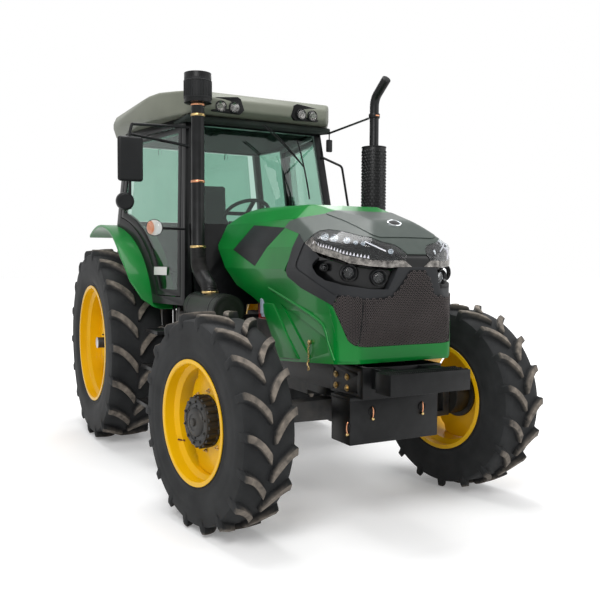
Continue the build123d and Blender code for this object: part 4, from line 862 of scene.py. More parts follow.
def slab(
    name: str, low: Vector, high: Vector, edge_mm: float = 3.0, segments: int = 2
) -> Piece:
    """Make a rectangular plate or block with rounded edges.

    Args:
        name: Name of the piece.
        low: Lowest corner in metres.
        high: Highest corner in metres.
        edge_mm: Rounding of the edges.
        segments: Steps across it.

    Returns:
        The block.
    """
    xs, ys, zs = zip(low, high)
    points = [(x, y, z) for x in xs for y in ys for z in zs]
    faces = [(0, 1, 3, 2), (4, 6, 7, 5), (0, 4, 5, 1), (2, 3, 7, 6), (0, 2, 6, 4), (1, 5, 7, 3)]
    return bevelled(mesh_from(name, points, faces), edge_mm, segments)


def block(name: str, front: Sequence[Point], back: Sequence[Point]) -> Piece:
    """Make a closed block between two outlines with as many corners.

    Args:
        name: Name of the piece.
        front: Corners of one end in metres.
        back: Those of the other end, in the same order.

    Returns:
        The block, with sharp edges.
    """
    count = len(front)
    faces = [tuple(range(count)), tuple(range(2 * count - 1, count - 1, -1))]
    faces += [(i, (i + 1) % count, count + (i + 1) % count, count + i) for i in range(count)]
    return mesh_from(name, [*front, *back], faces)


def bolt(size_mm: float = 12.0, head_mm: float = 8.0, stud_mm: float = 0.0) -> Piece:
    """Make a hexagon bolt head on a washer, with its axis along x, for rows and rings.

    Args:
        size_mm: Half the width of the hexagon.
        head_mm: Height of the head.
        stud_mm: Length of thread that stands out of the nut.

    Returns:
        The bolt.
    """
    size, head = size_mm * MM, head_mm * MM
    rings = [(0.0, size * 1.45, False), (head * 0.25, size * 1.45, False), (head * 0.25, size, True),
             (head * 0.85, size, True), (head, size * 0.82, True)]
    if stud_mm:
        rings += [(head, size * 0.5, False), (head + stud_mm * MM, size * 0.46, False)]
    points, faces = [], []
    for x, radius, six_sided in rings:
        for k in range(12):
            inset = math.cos(math.pi / 6) if six_sided and k % 2 else 1.0
            angle = math.tau * k / 12
            points.append((x, radius * inset * math.cos(angle), radius * inset * math.sin(angle)))
    for i in range(len(rings) - 1):
        for k in range(12):
            j = (k + 1) % 12
            faces.append((i * 12 + k, i * 12 + j, (i + 1) * 12 + j, (i + 1) * 12 + k))
    faces.append(tuple(range(12)))
    faces.append(tuple(range((len(rings) - 1) * 12, len(rings) * 12)))
    return mesh_from("bolt", points, faces)


def ring_cell(outside_mm: float, inside_mm: float, height_mm: float) -> Piece:
    """Make one hexagonal cell of a mesh: a low ring whose axis is z.

    Args:
        outside_mm: Radius of its outside.
        inside_mm: Radius of its hole.
        height_mm: Height.

    Returns:
        The cell.
    """
    points, faces = [], []
    for radius, z in ((outside_mm, 0.0), (outside_mm * 0.94, height_mm), (inside_mm, height_mm), (inside_mm, 0.0)):
        points += [(radius * MM * math.cos(k * math.pi / 3), radius * MM * math.sin(k * math.pi / 3), z * MM)
                   for k in range(6)]
    for i in range(4):
        for k in range(6):
            j, n = (k + 1) % 6, (i + 1) % 4
            faces.append((i * 6 + k, i * 6 + j, n * 6 + j, n * 6 + k))
    return mesh_from("cell", points, faces)


def louvre(width_mm: float, height_mm: float, stand_mm: float) -> Piece:
    """Make one pressed louvre on a drum: a scoop that stands out along y and is open at its foot.

    Args:
        width_mm: Width round the drum.
        height_mm: Height along the drum, which is the local x axis.
        stand_mm: How far it stands out.

    Returns:
        The louvre.
    """
    w, h, d = width_mm * MM / 2, height_mm * MM / 2, stand_mm * MM
    points = [(-h, 0.0, -w), (-h, 0.0, w), (h, 0.0, -w * 0.7), (h, 0.0, w * 0.7),
              (-h, d, -w * 0.6), (-h, d, w * 0.6), (h * 0.2, d * 0.8, -w * 0.4), (h * 0.2, d * 0.8, w * 0.4)]
    faces = [(0, 4, 6, 2), (1, 3, 7, 5), (4, 5, 7, 6), (6, 7, 3, 2), (0, 1, 5, 4), (0, 2, 3, 1)]
    return mesh_from("louvre", points, faces)


# ---- Layout -------------------------------------------------------------------------------------
@dataclass
class Layout:
    """Where the tractor's own axes stand in the row frame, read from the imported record."""

    frame: dict
    axle_y: float = field(init=False)

    def __post_init__(self) -> None:
        """Read the front axle's place from the left kingpin's joint."""
        self.axle_y = self.joint("steer_left")["pos_m"][1]

    def joint(self, name: str) -> dict:
        """Return a joint of the record by name."""
        return next(j for j in self.frame["record"]["behaviour"]["joints"] if j["name"] == name)

    def node(self, name: str) -> Piece:
        """Return a CAD node's object."""
        return self.frame["nodes"][name]

    def body(self, node: str) -> str:
        """Return the CAD body that a node is part of."""
        bodies = self.frame["record"]["behaviour"]["bodies"]
        return next(body for body, members in bodies.items() if node in members)

    def slot(self, node: str) -> str:
        """Return the record's material slot of a node."""
        return next(s["material_slot"] for s in self.frame["record"]["subparts"] if s["node"] == node)

    def at(self, x: float, y: float, z: float) -> Vector:
        """Turn millimetres left of the middle, behind the front axle and above the ground into a place."""
        return Vector((x * MM, y * MM + self.axle_y, z * MM))


@dataclass
class Section:
    """One part of the tractor's dressing, which mounts its pieces on one body."""

    layout: Layout
    shop: Workshop
    body: str = "chassis"

    def put(self, piece: Piece, finish: Finish, slot: str, *replaces: str) -> Piece:
        """Mount a piece on the section's body; replaces names the CAD nodes that it stands for."""
        return self.shop.mount(piece, self.body, finish, slot, replaces)

    def put_rows(
        self, name: str, kind: Array, copy: Piece, finish: Finish, slot: str, place: Matrix = HERE, **sizes
    ) -> None:
        """Lay out copies as repeated does, and mount them."""
        self.put(repeated(name, kind, copy, finish, place, **sizes), finish, slot)

    def at(self, x: float, y: float, z: float) -> Vector:
        """Return the place of a point in millimetres of the tractor's axes."""
        return self.layout.at(x, y, z)

    def line(self, *points: Point) -> list[Vector]:
        """Return the places of several points in millimetres of the tractor's axes."""
        return [self.layout.at(*point) for point in points]


# ---- Wheels -------------------------------------------------------------------------------------
@dataclass
class Wheel:
    """One wheel: tyre, rim, hub and their fasteners, drawn about its own x axis, outboard positive."""

    layout: Layout
    shop: Workshop
    end: str
    side: str
    radius: float
    width: float
    flange_radius: float
    rim_width: float
    lug_height: float
    disc_offset: float
    lugs: int = 18
    lug_half_angle: float = 2.15
    place: Matrix = field(init=False)

    def __post_init__(self) -> None:
        """Set the wheel's place from its roll joint; the right-hand wheel is the left one mirrored."""
        joint = self.layout.joint(f"roll_{self.end}_{self.side}")
        axis = Vector(joint["axis"]).normalized()
        sign = 1.0 if self.side == "left" else -1.0
        turn = math.atan2(axis.y, axis.x)
        # The joint lies on the tyre's middle plane.
        self.place = (
            Matrix.Translation(Vector(joint["pos_m"]))
            @ Matrix.Rotation(turn, 4, "Z")
            @ Matrix.Diagonal((sign, 1.0, 1.0, 1.0))
        )

    @property
    def body(self) -> str:
        """CAD body of the wheel."""
        return f"wheel_{self.end}_{self.side}"

    def put(self, piece: Piece, finish: Finish, slot: str = "hub_paint", *replaces: str) -> None:
        """Mount a piece on the wheel; replaces names the CAD nodes that it stands for."""
        self.shop.mount(piece, self.body, finish, slot, replaces)

    @property
    def half_tread(self) -> float:
        """Half width of the tread over the lugs."""
        return self.width / 2 - 0.014

    def on_tread(self, x: float, radius: float, turn: float) -> Point:
        """Return a point at an angle in degrees from the ground, up over the front."""
        angle = math.radians(turn)
        return x, -radius * math.sin(angle), -radius * math.cos(angle)

    def lug_line(self, x: float) -> float:
        """Return how far a lug has swept round, in degrees, at a distance from the tread's middle."""
        share = (x - 0.008) / (self.half_tread - 0.008)
        return 21.7 * share - 9.2 * share * share

    def lug(self) -> Piece:
        """Build one lug: a swept bar with rounded edges, a broad inner nose and an end that runs down the shoulder."""
        rise = self.radius - self.flange_radius
        foot = self.radius - self.lug_height
        tread = self.half_tread
        stations = []  # x, top radius, foot radius, half angle of the top
        for share in (0.0, 0.05, 0.14, 0.28, 0.42, 0.58, 0.74, 0.9, 1.0):
            x = 0.007 + share * (tread - 0.007)
            broad = self.lug_half_angle * (1.32 - 0.4 * min(1.0, share / 0.6))
            top = self.radius - 0.006 * max(0.0, share - 0.5) * 2
            if share == 0.0:
                broad, top = broad * 0.72, top - 0.008
            stations.append((x, top, foot - 0.002 - 0.012 * share, broad))
        shoulder = self.flange_radius + 0.66 * rise
        half = self.width / 2
        stations.append((half - 0.006, self.radius - 0.022, foot - 0.03, 1.55))
        stations.append((half - 0.001, foot - 0.012, shoulder + 0.02, 1.45))
        stations.append((half - 0.0015, shoulder + 0.008, shoulder, 1.35))
        points, faces = [], []
        for x, top, low, broad in stations:
            turn = self.lug_line(min(x, tread))
            depth = top - low
            section = [
                (-broad - 0.95, low - 0.004), (-broad - 0.38, low + 0.3 * depth), (-broad - 0.1, top - 0.006),
                (-broad + 0.22, top), (0.0, top), (broad - 0.22, top),
                (broad + 0.1, top - 0.006), (broad + 0.38, low + 0.3 * depth), (broad + 0.95, low - 0.004),
            ]
            points += [self.on_tread(x, radius, turn + offset) for offset, radius in section]
        row = len(section)
        for i in range(len(stations) - 1):
            for k in range(row - 1):
                a = i * row + k
                faces.append((a, a + 1, a + row + 1, a + row))
        faces.append(tuple(range(row)))
        last = (len(stations) - 1) * row
        faces.append(tuple(range(last, last + row)))
        return mesh_from("lug", points, faces)

    def carcass_profile(self) -> list[tuple[float, float]]:
        """Return the tyre's outline from its inboard bead over the tread to its outboard bead."""
        half, flange, tread = self.width / 2, self.flange_radius, self.half_tread
        rise = self.radius - flange
        lip = self.rim_width / 2 - 0.0095
        foot = self.radius - self.lug_height
        bead = flange - 0.0175
        outboard = [
            (lip, bead), (lip, flange + 0.004), (lip + 0.002, flange + 0.011), (lip + 0.0045, flange + 0.014),
            (lip + 0.005, flange + 0.024), (lip + 0.003, flange + 0.028), (half - 0.0065, flange + 0.2 * rise),
            (half - 0.001, flange + 0.33 * rise), (half, flange + 0.42 * rise), (half - 0.0008, flange + 0.5 * rise),
            (half - 0.0005, flange + 0.505 * rise), (half - 0.002, flange + 0.6 * rise),
            (half - 0.004, flange + 0.7 * rise), (half - 0.009, foot - 0.02), (tread - 0.006, foot - 0.011),
            (0.7 * tread, foot - 0.007), (0.35 * tread, foot - 0.003), (0.0, foot),
        ]
        return [(-x, r) for x, r in outboard] + list(reversed(outboard[:-1]))

    def tyre(self) -> None:
        """Build the carcass and its two rows of lugs, and mark the worn tops."""
        profile = self.carcass_profile()
        ring = lathe("carcass", profile, HERE, TYRE_SEGMENTS)
        ring.data.materials.append(TYRE.material())
        rows = []
        for sign, phase in ((1.0, 0.0), (-1.0, math.pi / self.lugs)):
            lug = self.lug()
            if sign < 0:
                moved_by(lug, Matrix.Diagonal((-1.0, 1.0, 1.0, 1.0)))
            rows.append(
                repeated(f"lugs{sign}", Array.RING, lug, TYRE, HERE, Count=self.lugs, Radius=0.0, Phase=phase)
            )
        tyre = joined(f"tyre_{self.end}_{self.side}_dressed", [ring, *rows])
        wear = tyre.data.attributes.new("wear", "FLOAT", "POINT")
        for i, vertex in enumerate(tyre.data.vertices):
            reach = math.hypot(vertex.co.y, vertex.co.z)
            wear.data[i].value = min(1.0, max(0.0, (reach - self.radius + 0.011) / 0.008))
        smoothed(moved_by(tyre, self.place), 38.0)
        self.put(tyre, TYRE, "tyre", f"tyre_{self.end}_{self.side}")

    def barrel_profile(self) -> list[tuple[float, float]]:
        """Return the rim's closed section: flanges, bead seats, humps and the well between them."""
        half, flange = self.rim_width / 2, self.flange_radius
        seat = flange - 0.018
        well = seat - 0.028
        ledge = half - 0.062
        slope = 0.032
        wall = 0.010
        return [
            (-half, flange - 0.002), (-half + 0.003, flange), (-half + 0.009, flange - 0.003), (-half + 0.009, seat),
            (-ledge, seat), (-ledge + slope, well), (ledge - slope, well), (ledge, seat),
            (half - 0.009, seat), (half - 0.009, flange - 0.003), (half - 0.003, flange), (half, flange - 0.002),
            (half, seat - 0.004), (half - 0.006, seat - wall), (ledge + 0.006, seat - wall),
            (ledge - 0.004, seat - wall - 0.002), (ledge - slope + 0.004, well - wall),
            (-ledge + slope - 0.004, well - wall), (-ledge - 0.004, seat - wall), (-half, seat - wall),
        ]

    def ring(self, name: str, copy: Piece, finish: Finish, x: float, **sizes) -> None:
        """Set copies of a fastener round the hub.

        Args:
            name: Name of the piece.
            copy: Fastener that is repeated.
            finish: Its finish.
            x: Place along the axle, outboard positive, in metres.
            sizes: Count, Radius and Phase of the ring.
        """
        place = self.place @ Matrix.Translation((x, 0.0, 0.0))
        self.put(repeated(name, Array.RING, copy, finish, place, **sizes), finish)

    def finish_rim(self, barrel: Piece, disc: Piece) -> None:
        """Join the rim's barrel and disc, set them in place and paint them."""
        name = f"rim_{self.end}_{self.side}"
        rim = smoothed(moved_by(joined(f"{name}_dressed", [barrel, disc]), self.place), 32.0)
        self.put(rim, YELLOW_ENAMEL, "wheel_paint", name)


@dataclass
class FrontWheel(Wheel):
    """Steered wheel: a disc with two arms, and a planetary hub that stands out of it."""

    arm_tip: float = 0.115

    def disc_outline(self) -> list[tuple[float, float]]:
        """Return the disc's outline, (back, up): a round middle and two arms with curved sides."""
        reach = self.flange_radius - 0.0575
        outline = []
        for sign in (1, -1):
            tip = math.asin(self.arm_tip / reach)
            tip_angles = [math.pi / 2 - tip + k * tip / 4 for k in range(9)]
            flank = [(reach * math.cos(tip_angles[0]) + 0.012, reach * math.sin(tip_angles[0]) - 0.05),
                     (0.146, 0.232), (0.176, 0.188), (0.2, 0.12)]
            arc = [(reach * math.cos(a), reach * math.sin(a)) for a in tip_angles]
            right = list(reversed(flank))
            left = [(-y, z) for y, z in flank]
            outline += [(sign * y, sign * z) for y, z in right + arc + left]
        return outline

    def rim(self) -> None:
        """Build the rim's barrel and its two-armed disc."""
        barrel = lathe("barrel", self.barrel_profile(), HERE, RIM_SEGMENTS)
        outline = self.disc_outline()
        front, back = self.disc_offset, self.disc_offset - 0.014
        disc = bevelled(block("disc", *([(x, y, z) for y, z in outline] for x in (front, back))), 3.0, 2)
        self.finish_rim(barrel, disc)

    def hub(self) -> None:
        """Build the planetary hub: drum behind the disc, deep carrier in front of it, and the end cover."""
        node = self.layout.node(f"hub_{self.end}_{self.side}")
        start = -0.114
        offset = self.disc_offset
        face = offset + 0.088
        profile = [
            (start, 0.061), (start, 0.13), (start + 0.008, 0.135), (offset - 0.036, 0.135), (offset - 0.034, 0.162),
            (offset - 0.031, 0.165), (offset - 0.015, 0.165), (offset - 0.015, 0.12), (offset + 0.001, 0.12),
            (offset + 0.001, 0.157), (offset + 0.012, 0.157), (offset + 0.016, 0.15), (face - 0.012, 0.146),
            (face - 0.004, 0.143), (face, 0.136), (face, 0.112), (face - 0.006, 0.108), (face - 0.006, 0.088),
            (face + 0.002, 0.084), (face + 0.008, 0.078), (face + 0.012, 0.066), (face + 0.014, 0.05),
            (face + 0.01, 0.046), (face + 0.01, 0.024), (face + 0.02, 0.022), (face + 0.022, 0.016),
            (face + 0.022, 0.0), (start + 0.05, 0.0), (start + 0.05, 0.061),
        ]
        hub = lathe(f"{node.name}_dressed", profile, self.place, 72)
        self.put(hub, HUB_IRON, "hub_paint", node.name)
        boss_profile = [(-0.07, 0.0), (-0.07, 0.012), (-0.004, 0.012), (0.0, 0.009), (0.0, 0.0)]
        boss = lathe("boss", boss_profile, HERE, 10, closed=False)
        for name, copy, count, radius, x, finish in (
            ("bosses", boss, 20, 0.147, face - 0.01, HUB_IRON),
            ("carrier_bolts", bolt(7.5, 9.0), 10, 0.124, face, HUB_IRON),
            ("cover_bolts", bolt(5.5, 6.0), 6, 0.097, face - 0.006, HUB_IRON),
            ("disc_bolts", bolt(10.0, 12.0, 10.0), 8, 0.184, offset, BRASS_ZINC),
        ):
            self.ring(f"{name}_{self.side}", copy, finish, x, Count=count, Radius=radius, Phase=math.pi / 2 + 0.09)
        self.valve()

    def valve(self) -> None:
        """Set the tyre valve into the barrel."""
        angle = math.radians(212.0)
        reach = self.flange_radius - 0.05
        spot = Vector((0.075, -reach * math.cos(angle), reach * math.sin(angle)))
        self.put(lathe(
            f"valve_front_{self.side}",
            [(-0.012, 0.0), (-0.012, 0.009), (0.0, 0.009), (0.004, 0.005), (0.034, 0.005), (0.036, 0.0)],
            self.place @ facing(spot, Vector((0.75, 0.25, 0.25)).normalized()), 14, closed=False,
        ), RUST, "wheel_paint")


@dataclass
class RearWheel(Wheel):
    """Driven wheel: a full disc with pressed rings round a bar axle's clamp hub."""

    def rim(self) -> None:
        """Build the barrel, and the disc with two rings pressed into it."""
        offset = self.disc_offset
        inside = self.flange_radius - 0.056
        front = [(offset, inside), (offset, 0.4), (offset - 0.012, 0.385), (offset - 0.012, 0.33), (offset, 0.315),
                 (offset, 0.25), (offset + 0.006, 0.24), (offset + 0.006, 0.16), (offset, 0.15), (offset, 0.12)]
        back = [(x - 0.013, r) for x, r in reversed(front)]
        disc = lathe("disc", front + back, HERE, RIM_SEGMENTS)
        barrel = lathe("barrel", self.barrel_profile(), HERE, RIM_SEGMENTS)
        self.finish_rim(barrel, disc)

    def hub(self) -> None:
        """Round the CAD hub's edges, ring it with studs and cap the bar axle's end."""
        node = self.layout.node(f"hub_{self.end}_{self.side}")
        hub = softened(node, 3.0, 2)
        self.put(hub, HUB_IRON, "hub_paint", node.name)
        for name, copy, finish in (
            ("hub_nuts", bolt(14.0, 15.0, 34.0), HUB_IRON), ("hub_washers", bolt(17.0, 5.0), CREAM_ZINC),
        ):
            self.ring(
                f"{name}_rear_{self.side}", copy, finish, self.disc_offset + 0.006, Count=8, Radius=0.152, Phase=0.39
            )
        low, high = (Vector(corner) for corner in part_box(node.name))
        end = max(abs(low.x), abs(high.x))
        centre = self.place.translation.x
        reach = end - abs(centre)
        cap = lathe(
            f"bar_axle_end_{self.side}",
            [(reach - 0.004, 0.0), (reach - 0.004, 0.05), (reach + 0.001, 0.05), (reach + 0.003, 0.046),
             (reach + 0.003, 0.0)],
            self.place, 40, closed=False,
        )
        self.put(cap, STEEL)


# ---- Plain parts --------------------------------------------------------------------------------
@dataclass(frozen=True)
class Dressed:
    """A CAD node shown by its own form with rounded edges."""

    node: str
    finish: Finish
    edge_mm: float = 3.0
    segments: int = 2
    least_angle: float = 30.0


@dataclass
class Structure:
    """The parts whose CAD form is right as it stands: each is rounded and finished."""

    layout: Layout
    shop: Workshop
    parts: tuple[Dressed, ...] = (
        Dressed("front_frame", BLACK_ENAMEL, 3.0),
        Dressed("front_axle", IRON, 6.0),
        Dressed("engine_block", IRON, 6.0),
        Dressed("transmission", IRON, 8.0),
        Dressed("rear_axle", IRON, 6.0),
        Dressed("cab_mounts", BLACK_ENAMEL, 4.0),
        Dressed("fuel_tank", BLACK_PLASTIC, 25.0, 4),
        Dressed("front_step", BLACK_ENAMEL, 3.0),
        Dressed("battery_box", BLACK_ENAMEL, 4.0),
        Dressed("air_intake", BLACK_ENAMEL, 4.0),
        Dressed("exhaust_stack", BLACK_ENAMEL, 3.0),
        Dressed("cab_frame", CAB_ENAMEL, 4.0),
        Dressed("cab_roof", ROOF_PLASTIC, 22.0, 4),
        Dressed("dashboard", CONSOLE_PLASTIC, 8.0),
        Dressed("fender_left", GREEN_ENAMEL, 8.0, 3),
        Dressed("fender_right", GREEN_ENAMEL, 8.0, 3),
        Dressed("grab_rails", BLACK_ENAMEL, 2.0),
        Dressed("cab_steps", BLACK_ENAMEL, 2.0),
        Dressed("drawbar", IRON, 3.0),
        Dressed("lower_links", IRON, 3.0),
        Dressed("lift_rods", IRON, 2.0),
        Dressed("lift_arms", IRON, 3.0),
        Dressed("knuckle_left", IRON, 4.0),
        Dressed("knuckle_right", IRON, 4.0),
        Dressed("track_rod", BLACK_ENAMEL, 2.0),
        Dressed("hood_shell", GREEN_ENAMEL, 9.0, 3, 9.0),
        Dressed("hood_vents", MESH_PLASTIC, 3.0),
        Dressed("door_frame_left", CAB_ENAMEL, 3.0),
        Dressed("door_frame_right", CAB_ENAMEL, 3.0),
    )

    def build(self) -> None:
        """Round and finish every part of the table."""
        for part in self.parts:
            piece = softened(self.layout.node(part.node), part.edge_mm, part.segments, part.least_angle)
            self.shop.mount(
                piece, self.layout.body(part.node), part.finish, self.layout.slot(part.node), [part.node]
            )
        for node in ("cab_glass", "door_glass_left", "door_glass_right", "rear_window"):
            panes = self.layout.node(node).data.materials
            panes.clear()
            panes.append(GLASS.material())
            LOG.info("%s glazed", node)


# ---- Formed skins -------------------------------------------------------------------------------
def rounded_corners(outline: Sequence[Point], radius_mm: float, sharp: float = 1.0) -> list[Point]:
    """Round a closed outline's corners, but those on the tractor's middle plane.

    Args:
        outline: Corners in millimetres.
        radius_mm: Length that a rounding takes from each side of a corner.
        sharp: Distance from the middle plane within which a corner stays.

    Returns:
        The rounded outline.
    """
    result = []
    count = len(outline)
    for i, corner in enumerate(outline):
        here, before, after = Vector(corner), Vector(outline[i - 1]), Vector(outline[(i + 1) % count])
        if abs(here.x) < sharp:
            result.append(tuple(here))
            continue
        back, ahead = before - here, after - here
        first = here + back * min(radius_mm / max(back.length, 1e-6), 0.45)
        last = here + ahead * min(radius_mm / max(ahead.length, 1e-6), 0.45)
        result += [tuple(first), tuple(first * 0.25 + here * 0.5 + last * 0.25), tuple(last)]
    return result


def whole(half: Sequence[Point]) -> list[Point]:
    """Close a half outline, whose ends lie on the middle plane, with its mirror image."""
    return list(half) + [(-x, y, z) for x, y, z in reversed(half) if abs(x) > 1.0]


@dataclass
class FormedSurface:
    """A smooth surface over some CAD nodes, as seen from a centre inside them; plates are cut from it."""

    layout: Layout
    nodes: Sequence[str]
    centre_mm: Point
    axis: Point
    blur: float = 0.02
    tree: BVHTree = field(init=False)
    centre: Vector = field(init=False)
    ahead: Vector = field(init=False)
    right: Vector = field(init=False)
    up: Vector = field(init=False)

    def __post_init__(self) -> None:
        """Gather the nodes' faces and set the axes of the outlines' plane up."""
        points, faces = [], []
        for name in self.nodes:
            mesh = self.layout.node(name).data
            start = len(points)
            points += [vertex.co.copy() for vertex in mesh.vertices]
            faces += [tuple(start + i for i in polygon.vertices) for polygon in mesh.polygons]
        self.tree = BVHTree.FromPolygons(points, faces)
        self.centre = self.layout.at(*self.centre_mm)
        self.ahead = Vector(self.axis).normalized()
        self.right = Vector((0, 0, 1)).cross(self.ahead).normalized()
        self.up = self.ahead.cross(self.right)

    def flat(self, point: Point) -> tuple[float, float]:
        """Return a point's place, in millimetres of the tractor's axes, in the outlines' plane."""
        offset = self.layout.at(*point) - self.centre
        share = offset.dot(self.ahead)
        return offset.dot(self.right) / share, offset.dot(self.up) / share

    def toward(self, a: float, b: float) -> Vector:
        """Return the direction from the centre through a place of the outlines' plane."""
        return (self.ahead + self.right * a + self.up * b).normalized()

    def reach(self, way: Vector) -> float | None:
        """Return how far the CAD surface is from the centre along a direction, or None past its edge."""
        hit = self.tree.ray_cast(self.centre + way * 4.0, -way)
        return (hit[0] - self.centre).length if hit[0] else None

    def smooth_reach(self, way: Vector) -> float:
        """Return the mean reach over a narrow cone, which rounds the facets' edges."""
        side = way.orthogonal().normalized()
        other = way.cross(side)
        found = [self.reach(way)]
        for k in range(12):
            angle = math.tau * k / 12
            spread = self.blur * (1.0 if k % 2 else 0.55)
            found.append(self.reach((way + (side * math.cos(angle) + other * math.sin(angle)) * spread).normalized()))
        known = [value for value in found if value is not None]
        return sum(known) / len(known) if known else 0.7

    def on(self, point: Point, lift_mm: float = 0.0) -> Vector:
        """Return the surface's place nearest a point of the tractor's axes, raised by lift_mm."""
        way = self.toward(*self.flat(point))
        return self.centre + way * (self.smooth_reach(way) + lift_mm * MM)

    def plate(
        self,
        name: str,
        outline: Sequence[Point],
        lift_mm: float,
        depth_mm: float,
        cell_mm: float = 16.0,
        edge_mm: float = 2.0,
    ) -> Piece:
        """Cut one plate out of the surface.

        Args:
            name: Name of the piece.
            outline: Closed outline in millimetres of the tractor's axes.
            lift_mm: Height of its face over the surface.
            depth_mm: Thickness.
            cell_mm: Width of one face.
            edge_mm: Rounding of its rim.

        Returns:
            The closed plate.
        """
        work = bmesh.new()
        work.faces.new([work.verts.new((*self.flat(point), 0.0)) for point in outline])
        bmesh.ops.triangulate(work, faces=work.faces[:])
        step = cell_mm * MM / 0.9
        for k, normal in enumerate(((1, 0, 0), (0, 1, 0))):
            low = min(vertex.co[k] for vertex in work.verts)
            high = max(vertex.co[k] for vertex in work.verts)
            for line in range(math.floor(low / step) + 1, math.ceil(high / step)):
                spot = [0.0, 0.0, 0.0]
                spot[k] = line * step
                parts = work.verts[:] + work.edges[:] + work.faces[:]
                bmesh.ops.bisect_plane(work, geom=parts, dist=1e-5, plane_co=spot, plane_no=normal)
        work.verts.index_update()
        count = len(work.verts)
        ways = [self.toward(vertex.co.x, vertex.co.y) for vertex in work.verts]
        reaches = [self.smooth_reach(way) + lift_mm * MM for way in ways]
        points = [self.centre + way * reach for way, reach in zip(ways, reaches)]
        points += [self.centre + way * (reach - depth_mm * MM) for way, reach in zip(ways, reaches)]
        faces = [[vertex.index for vertex in face.verts] for face in work.faces]
        faces += [[count + i for i in reversed(face)] for face in faces]
        for edge in work.edges:
            if len(edge.link_faces) == 1:
                a, b = (vertex.index for vertex in edge.verts)
                faces.append([a, b, count + b, count + a])
        work.free()
        return bevelled(mesh_from(name, points, faces), edge_mm, 2, 50.0)


def mirrored_pair(name: str, piece: Piece) -> Piece:
    """Join a piece with its mirror image across the middle plane."""
    twin = placed_object(f"{name}_twin", piece.data.copy())
    return joined(name, [piece, moved_by(twin, Matrix.Diagonal((-1.0, 1.0, 1.0, 1.0)))])


def facing(place: Vector, way: Vector) -> Matrix:
    """Return the matrix that turns the local x axis to a direction at a place."""
    return Matrix.Translation(place) @ way.to_track_quat("X", "Z").to_matrix().to_4x4()


